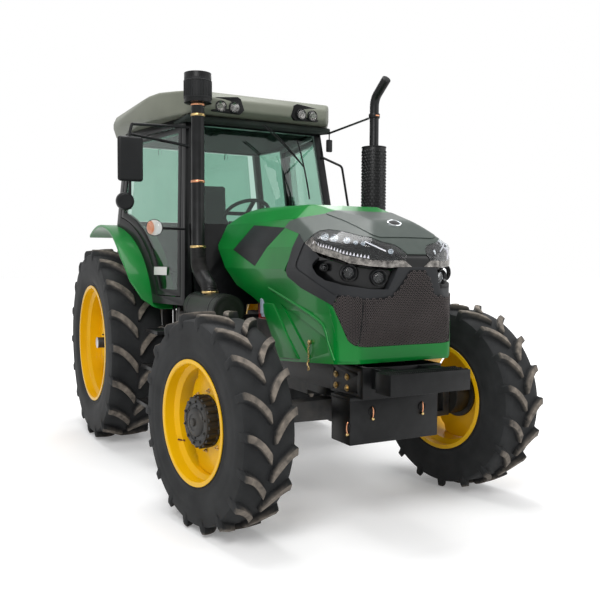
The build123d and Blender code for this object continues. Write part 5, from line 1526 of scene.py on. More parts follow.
# ---- Hood ---------------------------------------------------------------------------------------
@dataclass
class Nose(Section):
    """The hood's nose: satin crown, charcoal mask, lamps under clear lenses, and the mesh grille.

    Outlines are of the tractor's right half (x below 0), in millimetres of its axes; the left mirrors it.
    """

    body: str = "hood"
    rear_edge: tuple[Point, ...] = (
        (-420, 85, 1827), (-405, 38, 1867), (-401, -37, 1876), (-339, -107, 1892), (-270, -169, 1906),
        (-150, -205, 1915), (0, -215, 1922),
    )
    crease: tuple[Point, ...] = (
        (-270, -169, 1906), (-248, -350, 1858), (-238, -551, 1794), (-226, -630, 1762), (-188, -653, 1749),
        (-102, -650, 1751), (0, -648, 1752),
    )
    lamp_top: tuple[Point, ...] = (
        (-460, -258, 1721), (-444, -328, 1765), (-394, -325, 1793), (-352, -366, 1801), (-323, -441, 1791),
        (-275, -596, 1757), (-198, -678, 1727), (-115, -699, 1708), (-82, -725, 1684), (-67, -757, 1654),
    )
    strip_top: tuple[Point, ...] = (
        (-460, -258, 1721), (-447, -337, 1755), (-454, -398, 1709), (-431, -466, 1684), (-375, -589, 1645),
        (-277, -697, 1621), (-180, -753, 1616), (-90, -768, 1618),
    )
    strip_foot: tuple[Point, ...] = (
        (-460, -258, 1721), (-463, -372, 1673), (-423, -491, 1640), (-358, -610, 1601), (-277, -698, 1586),
        (-174, -756, 1578), (-42, -770, 1583),
    )
    cluster: tuple[Point, ...] = (
        (-447, -420, 1637), (-457, -388, 1619), (-464, -367, 1596), (-464, -368, 1575), (-453, -400, 1534),
        (-432, -463, 1502), (-382, -581, 1476), (-271, -701, 1456), (-183, -749, 1456), (-138, -770, 1571),
    )
    mask_outside: tuple[Point, ...] = (
        (-448, -194, 1753), (-438, -152, 1779), (-469, -115, 1680), (-475, -47, 1549), (-466, -53, 1514),
        (-450, -200, 1449), (-415, -516, 1358),
    )
    mask_inside: tuple[Point, ...] = (
        (-400, -559, 1424), (-408, -535, 1415), (-457, -389, 1487), (-476, -211, 1556), (-477, -182, 1576),
        (-475, -179, 1598), (-469, -235, 1679), (-460, -258, 1721),
    )
    mesh_edge: tuple[Point, ...] = (
        (0, -770, 1564), (-50, -770, 1564), (-149, -736, 1413), (-290, -690, 1400), (-397, -563, 1417),
        (-412, -523, 1367), (-412, -523, 1346), (-363, -604, 1163), (-339, -632, 1137), (-261, -651, 1125),
        (0, -651, 1126),
    )

    def __post_init__(self) -> None:
        """Form the surface that all of the nose's plates follow."""
        self.skin = FormedSurface(
            self.layout, ("hood_shell", "hood_nose", "headlights", "grille", "hood_vents"),
            (0.0, 400.0, 1350.0), (0.0, -0.8, 0.6),
        )

    def add(
        self, name: str, outline: Sequence[Point], finish: Finish, slot: str, lift: float, depth: float,
        edge: float = 2.0, pair: bool = False, cell: float = 16.0, replaces: Iterable[str] = (),
    ) -> Piece:
        """Cut a plate, mirror it if it is one of a pair, and mount it.

        Args:
            name: Name of the piece.
            outline: Closed outline in millimetres.
            finish: Its finish.
            slot: Slot of the record.
            lift: Height over the skin in millimetres.
            depth: Thickness in millimetres.
            edge: Rounding of the rim in millimetres.
            pair: Whether the other side has its mirror image.
            cell: Width of one face in millimetres.
            replaces: CAD nodes that it stands for.

        Returns:
            The mounted plate.
        """
        plate = self.skin.plate(name, outline, lift, depth, cell, edge)
        if pair:
            plate = mirrored_pair(name, plate)
        return self.put(plate, finish, slot, *replaces)

    def crown(self) -> None:
        """Build the satin top with its raised centre, and the green skin behind it."""
        top = list(self.rear_edge) + [(0, -757, 1654)] + list(reversed(self.lamp_top)) + [
            (-448, -194, 1753), (-438, -152, 1779)]
        slot = self.layout.slot("hood_nose")
        self.add(
            "nose_crown", whole(self.turned(top)), BONNET_SATIN, slot,
            lift=2.0, depth=40.0, edge=2.5, replaces=["hood_nose"],
        )
        centre = list(reversed(self.crease[1:])) + [self.crease[0], (-150, -205, 1915), (0, -215, 1922)]
        self.add(
            "nose_centre", whole(rounded_corners(centre, 25.0)), BONNET_SATIN, slot, lift=7.0, depth=10.0, edge=4.0
        )
        green = [(0, -215, 1922), (-150, -205, 1915), (-270, -169, 1906), (-339, -107, 1892), (-401, -37, 1876),
                 (-398, 40, 1880), (-330, 90, 1905), (0, 100, 1935)]
        self.add(
            "nose_rear", whole(green), GREEN_ENAMEL, self.layout.slot("hood_shell"), lift=1.2, depth=12.0, edge=1.5
        )

    @staticmethod
    def turned(half: Sequence[Point]) -> list[Point]:
        """Start a closed half outline at its front point on the middle plane and end it at the rear one."""
        start = max((i for i, point in enumerate(half) if abs(point[0]) < 1.0), default=0)
        return list(half[start:]) + list(half[:start])

    def mask(self) -> None:
        """Build the mask's frame, the recessed cheek round the lower lamps, and the bar between the lamps."""
        slot = self.layout.slot("hood_nose")
        frame = list(self.mask_outside) + list(self.mask_inside)
        self.add(
            "nose_frame", rounded_corners(frame, 6.0), NOSE_PLASTIC, slot, lift=7.0, depth=36.0, edge=3.0, pair=True
        )
        cheek = (
            [(-460, -258, 1721), (-463, -372, 1673), (-452, -402, 1655)] + list(self.cluster)
            + [(-132, -768, 1580), (-42, -770, 1583), (0, -770, 1583), (0, -770, 1564)]
            + list(self.mesh_edge[1:5]) + list(self.mask_inside[1:-1])
        )
        self.add("nose_cheek", whole(self.turned(cheek)), NOSE_PLASTIC, slot, lift=-2.0, depth=92.0, edge=2.5)
        bar = [(0, -770, 1580), (-42, -770, 1580), (-92, -768, 1618), (-68, -757, 1652), (0, -757, 1652)]
        self.add("nose_bar", whole(bar), PIANO_BLACK, slot, lift=-3.0, depth=30.0, edge=3.0, cell=8.0)

    def lamps(self) -> None:
        """Build both lamp groups: dark housings, plated strip, reflectors, projectors and clear lenses."""
        slot = self.layout.slot("headlights")
        upper = list(self.lamp_top) + list(reversed(self.strip_foot[1:]))
        self.add(
            "lamp_housing", upper, LAMP_BLACK, slot,
            lift=-42.0, depth=6.0, edge=1.0, pair=True, replaces=["headlights"],
        )
        strip = list(self.strip_top) + list(reversed(self.strip_foot[1:]))
        self.add("lamp_strip", strip, SMOKED_CHROME, slot, lift=0.0, depth=62.0, edge=3.0, pair=True, cell=8.0)
        lens = list(self.lamp_top) + list(reversed(self.strip_top[1:]))
        self.add("lamp_lens", lens, LENS, slot, lift=0.0, depth=5.0, edge=1.5, pair=True)
        lower = list(self.cluster) + [(-174, -756, 1578), (-277, -698, 1586), (-358, -610, 1601), (-423, -491, 1640)]
        self.add("cluster_housing", lower, PIANO_BLACK, slot, lift=-70.0, depth=6.0, edge=1.0, pair=True)
        ahead = Vector((-0.3, -0.95, 0.0)).normalized()
        for name, point, radius, sunk in (
            ("projector_outer", (-357, -611, 1556), 50.0, -52.0),
            ("projector_inner", (-223, -728, 1528), 48.0, -48.0),
            ("turn_lamp", (-436, -450, 1588), 24.0, -50.0),
        ):
            self.projector(name, self.skin.on(point, sunk), ahead, radius)
        for number, (point, radius) in enumerate((
            ((-397, -400, 1762), 24.0), ((-372, -470, 1752), 24.0), ((-338, -560, 1738), 20.0),
            ((-318, -625, 1722), 13.0), ((-290, -655, 1712), 13.0), ((-150, -740, 1672), 15.0),
        )):
            self.reflector(f"reflector_{number}", self.skin.on(point, -34.0), Vector((-0.5, -0.8, 0.3)), radius)
        self.light_guides(slot)

    def projector(self, name: str, place: Vector, way: Vector, radius_mm: float) -> None:
        """Build one projector lamp of each side: bezel, plated bowl and glass dome.

        Args:
            name: Name of the piece.
            place: Middle of its back.
            way: Direction that it shines in.
            radius_mm: Outside radius of the bezel.
        """
        spot = facing(place, way)
        r = radius_mm * MM
        bezel = [(0.0, r), (0.026, r), (0.031, r - 0.002), (0.031, r - 0.006), (0.024, r - 0.009),
                 (0.012, r * 0.62), (0.0, r * 0.6)]
        bowl = [(0.002, r * 0.6), (0.018, r * 0.82), (0.016, r * 0.82), (0.0, r * 0.58)]
        dome = [(0.006, r * 0.7)] + [
            (0.006 + 0.019 * math.sin(t), r * 0.7 * math.cos(t)) for t in (0.3, 0.6, 0.9, 1.2, 1.4)
        ] + [(0.025, 0.0), (0.006, 0.0)]
        for part, profile, finish in (("bezel", bezel, PIANO_BLACK), ("bowl", bowl, CHROME), ("dome", dome, LENS)):
            piece = lathe(f"{name}_{part}", profile, spot, 40)
            self.put(
                mirrored_pair(f"{name}_{part}", piece), finish, self.layout.slot("headlights")
            )

    def reflector(self, name: str, place: Vector, way: Vector, radius_mm: float) -> None:
        """Build one small plated reflector cup of each side, with its bulb.

        Args:
            name: Name of the piece.
            place: Middle of its back.
            way: Direction that it faces.
            radius_mm: Radius of its mouth.
        """
        r = radius_mm * MM
        cup = [(0.0, 0.0), (0.001, r * 0.45), (0.008, r * 0.8), (0.018, r), (0.02, r), (0.019, r * 0.94),
               (0.009, r * 0.72), (0.003, r * 0.25), (0.012, r * 0.2), (0.014, r * 0.1), (0.014, 0.0)]
        piece = lathe(name, cup, facing(place, way.normalized()), 24)
        self.put(mirrored_pair(name, piece), CHROME, self.layout.slot("headlights"))

    def light_guides(self, slot: str) -> None:
        """Build the row of prisms over the plated strip, and the light bar over it."""
        line = [self.skin.on(point, -8.0) for point in (
            (-455, -372, 1722), (-440, -440, 1709), (-412, -510, 1690), (-372, -590, 1665), (-330, -640, 1652),
            (-280, -690, 1640))]
        block = mesh_from("prism", *self.prism(0.0075, 0.006, 0.010))
        row = along_path("lamp_prisms", line, block, PRISM, 0.021)
        self.put(mirrored_pair("lamp_prisms", row), PRISM, slot)
        bar = [self.skin.on(point, -12.0) for point in ((-280, -650, 1722), (-225, -705, 1690), (-190, -735, 1672))]
        guide = tube("lamp_light_bar", bar, 5.0)
        self.put(mirrored_pair("lamp_light_bar", guide), PRISM, slot)

    @staticmethod
    def prism(half: float, rise: float, reach: float) -> tuple[list[Point], list[tuple[int, ...]]]:
        """Return a small roof prism's points and faces, in metres."""
        points = [(-half, -rise, -reach), (half, -rise, -reach), (half, rise, -reach), (-half, rise, -reach),
                  (0.0, -rise, reach), (0.0, rise, reach)]
        return points, [(0, 1, 2, 3), (0, 1, 4), (2, 3, 5), (1, 2, 5, 4), (3, 0, 4, 5)]

    def grille(self) -> None:
        """Build the mesh panel and its raised cells, with a black rod down each side as the painted shade of a groove.
        """
        slot = self.layout.slot("grille")
        # The sheet's near-black colour is painted shade behind the cells.
        plate = self.add(
            "grille_sheet", whole(rounded_corners(self.mesh_edge, 8.0)), MESH_SHEET_SHADE, slot,
            lift=4.0, depth=14.0, replaces=["grille"],
        )
        rim = [(-415, -516, 1358)] + list(self.mesh_edge[6:]) + [
            (0, -652, 1034), (-345, -640, 1034), (-404, -547, 1036), (-401, -556, 1140), (-421, -492, 1331)]
        chin = rounded_corners(self.turned(rim), 7.0)
        self.add("nose_chin", whole(chin), GREEN_ENAMEL, self.layout.slot("hood_shell"), lift=9.0, depth=16.0, edge=4.0)
        # The cells are drawn 16 mm apart, coarser than real, so that they show; their grey is a painted highlight on
        # black plastic.
        self.put_rows(
            "grille_cells", Array.MESHWORK, ring_cell(9.0, 6.0, 3.0), MESH_CELL_HIGHLIGHT, slot,
            Surface=plate, Centre=self.skin.centre, Width=0.88, Height=0.42, Columns=56, Rows=25,
        )
        # A thin black rod down each side stands for a groove: painted shade.
        groove_shade = [self.skin.on((x, y, z), 7.0) for x, y, z in (
            (-301, -672, 1392), (-306, -665, 1310), (-311, -659, 1230), (-316, -653, 1150))]
        self.put(mirrored_pair("grille_seam", tube("grille_seam", groove_shade, 3.2)), LAMP_BLACK, slot)

    def badge(self) -> None:
        """Build a bare oval badge: plated rim round a plain black plate."""
        spot = self.skin.on((-8, -536, 1834), 7.0)
        ahead = self.skin.on((-8, -600, 1800), 7.0)
        slope = (ahead - spot).normalized()
        normal = Vector((1, 0, 0)).cross(slope)
        if normal.z < 0:
            normal.negate()
        place = facing(spot, normal) @ Matrix.Diagonal((1.0, 1.45, 0.95, 1.0))
        rim = [(0.0, 0.034), (0.007, 0.033), (0.009, 0.030), (0.007, 0.027), (0.002, 0.026), (0.0, 0.026)]
        plate = [(0.0, 0.0), (0.0, 0.0262), (0.003, 0.0262), (0.005, 0.018), (0.0055, 0.0)]
        slot = self.layout.slot("headlights")
        self.put(lathe("badge_rim", rim, place, 48), CHROME, slot)
        self.put(lathe("badge_plate", plate, place, 48, closed=False), PIANO_BLACK, slot)

    def build(self) -> None:
        """Build the whole nose."""
        self.crown()
        self.mask()
        self.lamps()
        self.grille()
        self.badge()


# ---- Stacks -------------------------------------------------------------------------------------
@dataclass
class Stacks(Section):
    """The exhaust with its louvred shield, and the air intake with its hose, clamps and pre-cleaner."""

    exhaust: tuple[float, float] = (620.0, 634.0)
    intake: tuple[float, float] = (-630.0, 1110.0)

    def upright(self, x: float, y: float, z: float) -> Matrix:
        """Return the matrix that stands the local x axis up at a place in millimetres."""
        return facing(self.at(x, y, z), Vector((0, 0, 1)))

    def band(self, name: str, place: Matrix, radius_mm: float, finish: Finish, height_mm: float = 16.0) -> None:
        """Put a band clamp with its screw barrel round a pipe.

        Args:
            name: Name of the piece.
            place: Middle of the band, x along the pipe.
            radius_mm: Radius of the pipe.
            finish: Finish of the clamp.
            height_mm: Width of the band.
        """
        r, h = radius_mm * MM, height_mm * MM / 2
        profile = [(-h, r - 0.001), (-h, r + 0.0025), (-h * 0.7, r + 0.004), (h * 0.7, r + 0.004),
                   (h, r + 0.0025), (h, r - 0.001)]
        ring = lathe(name, profile, place, 48)
        barrel = lathe(
            f"{name}_barrel", [(-0.016, 0.0), (-0.016, 0.006), (0.016, 0.006), (0.016, 0.0)],
            place @ Matrix.Translation((0, -r - 0.006, 0)) @ Matrix.Rotation(math.pi / 2, 4, "Y"), 12, closed=False,
        )
        self.put(joined(name, [ring, barrel]), finish, "frame_paint")

    def shield(self) -> None:
        """Cover the shield's drum with rows of pressed louvres and rim it at both ends."""
        foot = self.upright(*self.exhaust, 1452.0)
        self.put_rows(
            "exhaust_louvres", Array.RING, louvre(22.0, 16.0, 5.0), BLACK_ENAMEL, "black_coating", foot,
            Count=22, Radius=0.0915, Rows=43, Rise=0.0238, Twist=math.tau / 44,
        )
        for name, z in (("exhaust_rim_low", 1441.0), ("exhaust_rim_high", 2479.0)):
            self.put(lathe(
                name, [(0.0, 0.088), (0.0, 0.0945), (0.008, 0.0955), (0.009, 0.093), (0.009, 0.088)],
                self.upright(*self.exhaust, z), 64,
            ), BLACK_ENAMEL, "black_coating")
        self.band("exhaust_clamp", self.upright(*self.exhaust, 2722.0), 35.0, COPPER, 22.0)

    def precleaner(self) -> None:
        """Build the pre-cleaner's bowl: domed cap, groove, ribbed wall and tapering foot."""
        foot = self.upright(*self.intake, 2780.0)
        profile = [
            (0.0, 0.049), (0.0, 0.058), (0.012, 0.07), (0.022, 0.088), (0.028, 0.0985), (0.034, 0.1005),
            (0.040, 0.1005), (0.043, 0.097), (0.15, 0.0985), (0.152, 0.1005), (0.158, 0.101), (0.161, 0.099),
            (0.163, 0.097), (0.198, 0.096), (0.207, 0.091), (0.212, 0.08), (0.2155, 0.055), (0.216, 0.0),
        ]
        profile = [(x, r * 1.045) for x, r in profile] + [(0.0, 0.0)]
        self.put(lathe("precleaner_bowl", profile, foot, 72, closed=False), PRECLEANER, "black_coating")
        rib = slab("rib", Vector((0.045, 0.1, -0.003)), Vector((0.148, 0.1052, 0.003)), 1.0, 1)
        self.put_rows(
            "precleaner_ribs", Array.RING, rib, PRECLEANER, "black_coating", foot, Count=30, Radius=0.0, Phase=0.1
        )

    def pipes(self) -> None:
        """Put the clamps round the stack and the hose, and the hose's wire ribs along it."""
        for name, z, radius, finish in (
            ("intake_clamp_top", 2768.0, 49.0, COPPER), ("intake_clamp_bracket", 2691.0, 49.0, BRASS_ZINC),
            ("intake_clamp_middle", 2201.0, 49.0, COPPER), ("intake_clamp_foot", 1716.0, 56.0, BRASS_ZINC),
        ):
            self.band(name, self.upright(*self.intake, z), radius, finish, 17.0)
        x, y = self.intake
        line = self.line((x, y, 1700), (x, y, 1625), (x, y - 28, 1560), (x, y - 120, 1490), (x, y - 222, 1430),
                         (x, y - 249, 1395), (x, y - 250, 1376))
        half = [(-0.004, 0.0545), (-0.003, 0.0575), (0.0, 0.0585), (0.003, 0.0575), (0.004, 0.0545)]
        ring = lathe("ring", half, HERE, 20)
        ribs = along_path("intake_hose_ribs", line, ring, HOSE_RUBBER, 0.0125, (1.0, 0.0, 0.0))
        self.put(ribs, HOSE_RUBBER, "frame_paint")
        self.band("intake_clamp_cleaner", self.upright(x, y - 250.0, 1386.0), 57.0, BRASS_ZINC)
        for name, y_band in (("cleaner_band_front", 610.0), ("cleaner_band_rear", 1040.0)):
            place = facing(self.at(x, y_band, 1265.0), Vector((0, 1, 0)))
            self.band(name, place, 115.0, BLACK_ENAMEL, 24.0)
        self.put(lathe(
            "cleaner_cap",
            [(0.0, 0.0), (-0.004, 0.03), (-0.004, 0.075), (-0.001, 0.085), (-0.003, 0.095), (-0.002, 0.108),
             (0.0, 0.112), (0.01, 0.1158), (0.02, 0.1158), (0.02, 0.0)],
            facing(self.at(x, 500.0, 1265.0), Vector((0, 1, 0))), 56, closed=False,
        ), CANISTER, "frame_paint")
        self.put(lathe(
            "cleaner_wall", [(0.0, 0.1155), (0.0, 0.117), (0.58, 0.117), (0.58, 0.1155)],
            facing(self.at(x, 520.0, 1265.0), Vector((0, 1, 0))), 64,
        ), CANISTER, "frame_paint")
        self.put(lathe(
            "fuel_filter",
            [(0.0, 0.0), (0.0, 0.03), (0.006, 0.034), (0.02, 0.034), (0.024, 0.042), (0.12, 0.042), (0.128, 0.036),
             (0.13, 0.02), (0.14, 0.018), (0.14, 0.0)],
            self.upright(-390.0, 420.0, 1230.0), 32, closed=False,
        ), FILTER_CAN, "casting_paint")
        cover = slab("engine_cover", *self.line((-350, 380, 1200), (-300, 640, 1330)), 10.0, 3)
        self.put(cover, RED_ENAMEL, "casting_paint")

    def build(self) -> None:
        """Build both stacks' details."""
        self.shield()
        self.precleaner()
        self.pipes()


# ---- Fittings -----------------------------------------------------------------------------------
@dataclass
class Fittings(Section):
    """Small fittings: plate bolts, latches, step teeth, treads, the catch's chain, signal lamps and mirrors."""

    def plate_bolts(self) -> None:
        """Bolt the side plates of the front frame, four bolts a side."""
        for name, side in reversed(SIDES):
            spot = Matrix.Translation(self.at(side * 280.0, -468.0, 863.0)) @ Matrix.Diagonal((side, 1, 1, 1))
            self.put_rows(
                f"plate_bolts_{name}", Array.GRID, bolt(14.0, 12.0), BRASS_ZINC, "frame_paint", spot,
                Columns=2, Rows=2, Column_Step=(0.0, 0.128, 0.0), Row_Step=(0.0, 0.0, 0.066),
            )

    def battery_latches(self) -> None:
        """Put the lid's line and three over-centre latches on the battery box."""
        low, high = (Vector(corner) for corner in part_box("battery_box"))
        lid = slab(
            "battery_lid", Vector((low.x - 0.004, low.y - 0.004, high.z - 0.02)),
            Vector((high.x + 0.004, high.y, high.z + 0.002)), 3.0,
        )
        self.put(lid, BLACK_ENAMEL, "frame_paint")
        for name, spot, way in (
            ("latch_right", Vector((-0.166, low.y, high.z - 0.088)), Vector((0, -1, 0))),
            ("latch_left", Vector((0.195, low.y, high.z - 0.088)), Vector((0, -1, 0))),
            ("latch_side", Vector((low.x, low.y + 0.014, high.z - 0.17)), Vector((-1, 0, 0))),
        ):
            place = facing(spot, way)
            self.put(lathe(
                f"{name}_cup", [(0.0, 0.026), (0.004, 0.026), (0.006, 0.023), (0.002, 0.02), (0.001, 0.0)], place, 24,
                closed=False,
            ), BLACK_PLASTIC, "frame_paint")
            line = ((0.004, 0, 0.028), (0.014, 0, 0.02), (0.014, 0, -0.03), (0.006, 0, -0.038))
            self.put(tube(f"{name}_bar", [place @ Vector(point) for point in line], 4.5), COPPER, "frame_paint")
            self.put(lathe(
                f"{name}_knob", [(0.0, 0.0), (0.0, 0.008), (0.012, 0.009), (0.016, 0.006), (0.016, 0.0)],
                place @ Matrix.Translation((0.002, 0, -0.044)), 16, closed=False,
            ), BRASS_ZINC, "frame_paint")

    def step_teeth(self) -> None:
        """Set three rows of teeth along the step's top."""
        low, high = (Vector(corner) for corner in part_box("front_step"))
        tooth = mesh_from(
            "tooth",
            [(-0.006, -0.011, 0.0), (0.006, -0.011, 0.0), (0.006, 0.011, 0.0), (-0.006, 0.011, 0.0),
             (0.0, -0.009, 0.008), (0.0, 0.009, 0.008)],
            [(3, 2, 1, 0), (0, 1, 4), (2, 3, 5), (1, 2, 5, 4), (3, 0, 4, 5)],
        )
        columns = 38
        self.put_rows(
            "step_teeth", Array.GRID, tooth, BLACK_ENAMEL, "frame_paint",
            Matrix.Translation(Vector((low.x + 0.016, low.y + 0.014, high.z - 0.001))), Columns=columns, Rows=3,
            Column_Step=((high.x - low.x - 0.032) / (columns - 1), 0.0, 0.0), Row_Step=(0.0, 0.052, 0.0),
        )

    def treads(self) -> None:
        """Perforate the ladder's treads: rows of raised rings on each."""
        inner = 660.0
        for name, side in SIDES:
            for number, (z, reach) in enumerate(((480.0, 960.0), (760.0, 920.0), (1040.0, 880.0))):
                self.put_rows(
                    f"tread_{name}_{number}", Array.GRID, ring_cell(10.5, 6.5, 4.0), BLACK_ENAMEL, "frame_paint",
                    Matrix.Translation(self.at(side * inner, 1352.0, z + 15.0)), Rows=10,
                    Columns=int((reach - inner) / 27.0), Column_Step=(side * 0.027, 0.0, 0.0),
                    Row_Step=(0.0, 0.03, 0.0),
                )

    def chain(self) -> None:
        """Hang the linchpin's short chain from the hood's side catch."""
        foot = self.line((-414, -242, 1112), (-418, -238, 1078), (-413, -234, 1042), (-411, -232, 1006))
        turns = [math.tau * k / 10 for k in range(10)]
        oval = [Vector((0.0085 * math.cos(t), 0.0055 * math.sin(t), 0.0)) for t in turns]
        link = tube("link", oval, 1.8, closed=True)
        pieces = (
            along_path("catch_chain", foot, link, BRASS_ZINC, 0.0125, (1.0, 0.0, 0.0), math.pi / 2),
            lathe(
                "hood_catch", [(0.0, 0.0), (0.0, 0.014), (0.012, 0.014), (0.016, 0.01), (0.016, 0.0)],
                facing(self.at(-405, -242, 1120), Vector((-1, 0, 0))), 20, closed=False,
            ),
            tube("linchpin", self.line((-411, -232, 1006), (-418, -214, 985), (-414, -256, 962), (-411, -214, 938),
                                       (-414, -236, 970)), 5.0),
        )
        for piece in pieces:
            self.shop.mount(piece, "hood", BRASS_ZINC, "green_paint")

    def signal_lamps(self) -> None:
        """Build the turn and position lamp of each side: white half, amber half, black backing."""
        for name, side in SIDES:
            place = facing(self.at(side * 935.0, 1212.0, 1855.0), Vector((side * 0.25, -1, 0)))
            place = place @ Matrix.Scale(1.3, 4)
            self.put(lathe(
                f"signal_reflector_{name}", [(0.003, 0.0), (0.003, 0.044), (0.0045, 0.044), (0.0045, 0.0)], place, 32,
                closed=False,
            ), PLATE_WHITE, "lamp_housing")
            self.put(lathe(
                f"signal_housing_{name}",
                [(-0.05, 0.0), (-0.05, 0.03), (-0.02, 0.046), (0.001, 0.048), (0.003, 0.045), (0.003, 0.0)],
                place, 32, closed=False,
            ), BLACK_PLASTIC, "lamp_housing")
            for part, out, finish in (("amber", 0.022, AMBER_LENS), ("clear", -0.022, LENS)):
                self.put(lathe(
                    f"signal_{part}_{name}",
                    [(0.0, 0.0), (0.0, 0.038), (0.012, 0.037), (0.024, 0.03), (0.03, 0.018), (0.032, 0.0)],
                    place @ Matrix.Translation((0.005, side * out, 0.0)) @ Matrix.Diagonal((1.0, 0.55, 1.0, 1.0)), 28,
                    closed=False,
                ), finish, "lamp_lens")

    def mirrors(self) -> None:
        """Build the mirrors' shells, rods and arms, and set the plate and the convex glass into their backs."""
        plate = slab("mirror_plate", *self.line((-1176, 1312, 2206), (-1007, 1316, 2513)), 1.5)
        self.put(plate, MIRROR_GLASS, "mirror_housing")
        rear = Vector((0, 1, 0))
        pieces = [
            slab("mirror_shell", *self.line((-1186, 1264, 2195), (-998, 1309, 2524)), 21.0, 5),
            slab("left_mirror_shell", *self.line((638, 1380, 2548), (690, 1410, 2653)), 9.0, 3),
            lathe("round_mirror", [(0.0, 0.0), (0.0, 0.05), (0.012, 0.064), (0.03, 0.068), (0.04, 0.068), (0.04, 0.0)],
                  facing(self.at(-1130, 1265, 2048), rear), 40, closed=False),
            tube("mirror_rod", self.line((-1072, 1300, 2622), (-1086, 1300, 2580), (-1092, 1300, 2540),
                                         (-1092, 1300, 2300), (-1092, 1300, 1992)), 11.0),
            tube("mirror_arm_high", self.line((-1070, 1300, 2618), (-830, 1363, 2637), (-595, 1424, 2655)), 11.0),
            tube("mirror_arm_low", self.line((-1092, 1300, 2545), (-840, 1355, 2525), (-595, 1409, 2505)), 11.0),
            tube("left_mirror_rod", self.line((664, 1395, 2640), (664, 1395, 2670), (664, 1395, 2700)), 5.0),
        ]
        self.put(joined("mirror_set", pieces), BLACK_PLASTIC, "mirror_housing", "mirrors")
        self.put(lathe(
            "mirror_convex", [(0.0, 0.0), (0.0, 0.066), (0.004, 0.064), (0.01, 0.04), (0.012, 0.0)],
            facing(self.at(-1130, 1305, 2048), rear), 40, closed=False,
        ), MIRROR_GLASS, "mirror_housing")

    def build(self) -> None:
        """Build every fitting."""
        self.plate_bolts()
        self.battery_latches()
        self.step_teeth()
        self.treads()
        self.chain()
        self.signal_lamps()
        self.mirrors()


# ---- Cab ----------------------------------------------------------------------------------------
@dataclass
class Cab(Section):
    """What dresses the cab: roof lamps in their recesses, wiper, headliner and the door's plate."""

    def roof_lamps(self) -> None:
        """Build the four work lamps in two dark-edged six-sided recesses."""
        recesses = []
        for name, side in SIDES:
            outline = [(205, 2785), (235, 2872), (262, 2886), (475, 2866), (492, 2846), (492, 2790), (462, 2762),
                       (240, 2752)]
            front, back = [], []
            for x, z in outline:
                y = 1226.0 + max(0.0, x - 250.0) * 0.09
                front.append(self.at(side * x, y - 10.0, z))
                back.append(self.at(side * x, y + 20.0, z))
            recesses.append(bevelled(block(f"roof_recess_{name}", front, back), 5.0, 2))
            for number, x in enumerate((292.0, 400.0)):
                y = 1214.0 + max(0.0, x - 250.0) * 0.09
                place = facing(self.at(side * x, y, 2800.0), Vector((side * 0.12, -1.0, -0.05)))
                r = 0.045
                for part, profile, finish in (
                    ("bezel", [(0.0, r), (0.014, r), (0.018, r - 0.002), (0.016, r - 0.006), (0.004, r - 0.008),
                               (0.0, r - 0.008)], BLACK_PLASTIC),
                    ("bowl", [(0.001, 0.0), (0.001, r * 0.3), (0.006, r * 0.6), (0.012, r * 0.84), (0.002, r * 0.86),
                              (0.0, 0.0)], SMOKED_CHROME),
                    ("glass", [(0.012, 0.0), (0.012, r - 0.006), (0.015, r - 0.006), (0.019, r * 0.5), (0.02, 0.0)],
                     LENS),
                ):
                    ring = lathe(f"roof_lamp_{name}_{number}_{part}", profile, place, 36, closed=part == "bezel")
                    self.put(ring, finish, "lamp_lens")
        self.put(joined("roof_recesses", recesses), LAMP_BLACK, "lamp_housing", "lamps")

    def wiper(self) -> None:
        """Build the wiper's twin arms and blade over the windscreen."""
        shift = Vector((0.0, -0.012, 0.0))
        pivot = self.at(-30, 1275, 2700)
        for number, offset in enumerate((0.0, 0.028)):
            line = [pivot + Vector((offset, 0, 0)), self.at(150 + offset * 1000, 1252, 2560),
                    self.at(330, 1238, 2380)]
            self.put(tube(f"wiper_arm_{number}", [point + shift for point in line], 5.0), BLACK_ENAMEL, "frame_paint")
        line = self.line((275, 1258, 2600), (340, 1236, 2380), (372, 1218, 2120))
        self.put(tube("wiper_blade", [point + shift for point in line], 6.5), BLACK_PLASTIC, "frame_paint")

    def lining(self) -> None:
        """Hang the dark headliner under the roof."""
        liner = slab("headliner", self.at(-640, 1330, 2700), self.at(640, 2840, 2738), 14.0, 3)
        self.put(liner, HEADLINER, "interior_plastic")

    def door_plate(self) -> None:
        """Fix a bare white plate inside the right-hand door's lower pane."""
        corners = ((-744, 1515, 1561), (-790, 1700, 1561), (-794, 1693, 1496), (-748, 1508, 1496))
        outer = [self.at(*corner) for corner in corners]
        inner = [point + Vector((0.003, 0.0006, 0.0)) for point in outer]
        plate = bevelled(block("door_plate", outer, inner), 1.0, 2)
        self.shop.mount(plate, "door_right", PLATE_WHITE, "mirror_housing")

    def build(self) -> None:
        """Build the cab's dressing."""
        self.roof_lamps()
        self.wiper()
        self.lining()
        self.door_plate()


@dataclass
class SidePanels(Section):
    """Pressed shapes of the bonnet's sides: a leaning rib and the raised edge above the sunk panel."""

    body: str = "hood"
    rib: tuple[Point, ...] = (
        (424, 445, 1318), (427, 340, 1332), (424, 242, 1330), (419, 49, 1137), (418, -115, 1000), (418, 166, 975),
        (419, 310, 1150),
    )
    edge: tuple[Point, ...] = (
        (441, 262, 1434), (424, -10, 1360), (411, -395, 1255), (408, -444, 1190), (407, -470, 1125), (405, -535, 1040),
    )

    def build(self) -> None:
        """Build the rib and the raised edge of each side."""
        for name, side in reversed(SIDES):
            outer = [self.at(side * x, y, z) for x, y, z in self.rib]
            inner = [point - Vector((side * 0.03, 0, 0)) for point in outer]
            rib = bevelled(block(f"side_rib_{name}", outer, inner), 8.0, 3, 20.0)
            self.put(rib, GREEN_ENAMEL, self.layout.slot("hood_shell"))
            line = [self.at(side * x, y, z) for x, y, z in self.edge]
            edge = tube(f"side_edge_{name}", line, 11.0)
            self.put(edge, GREEN_ENAMEL, self.layout.slot("hood_shell"))


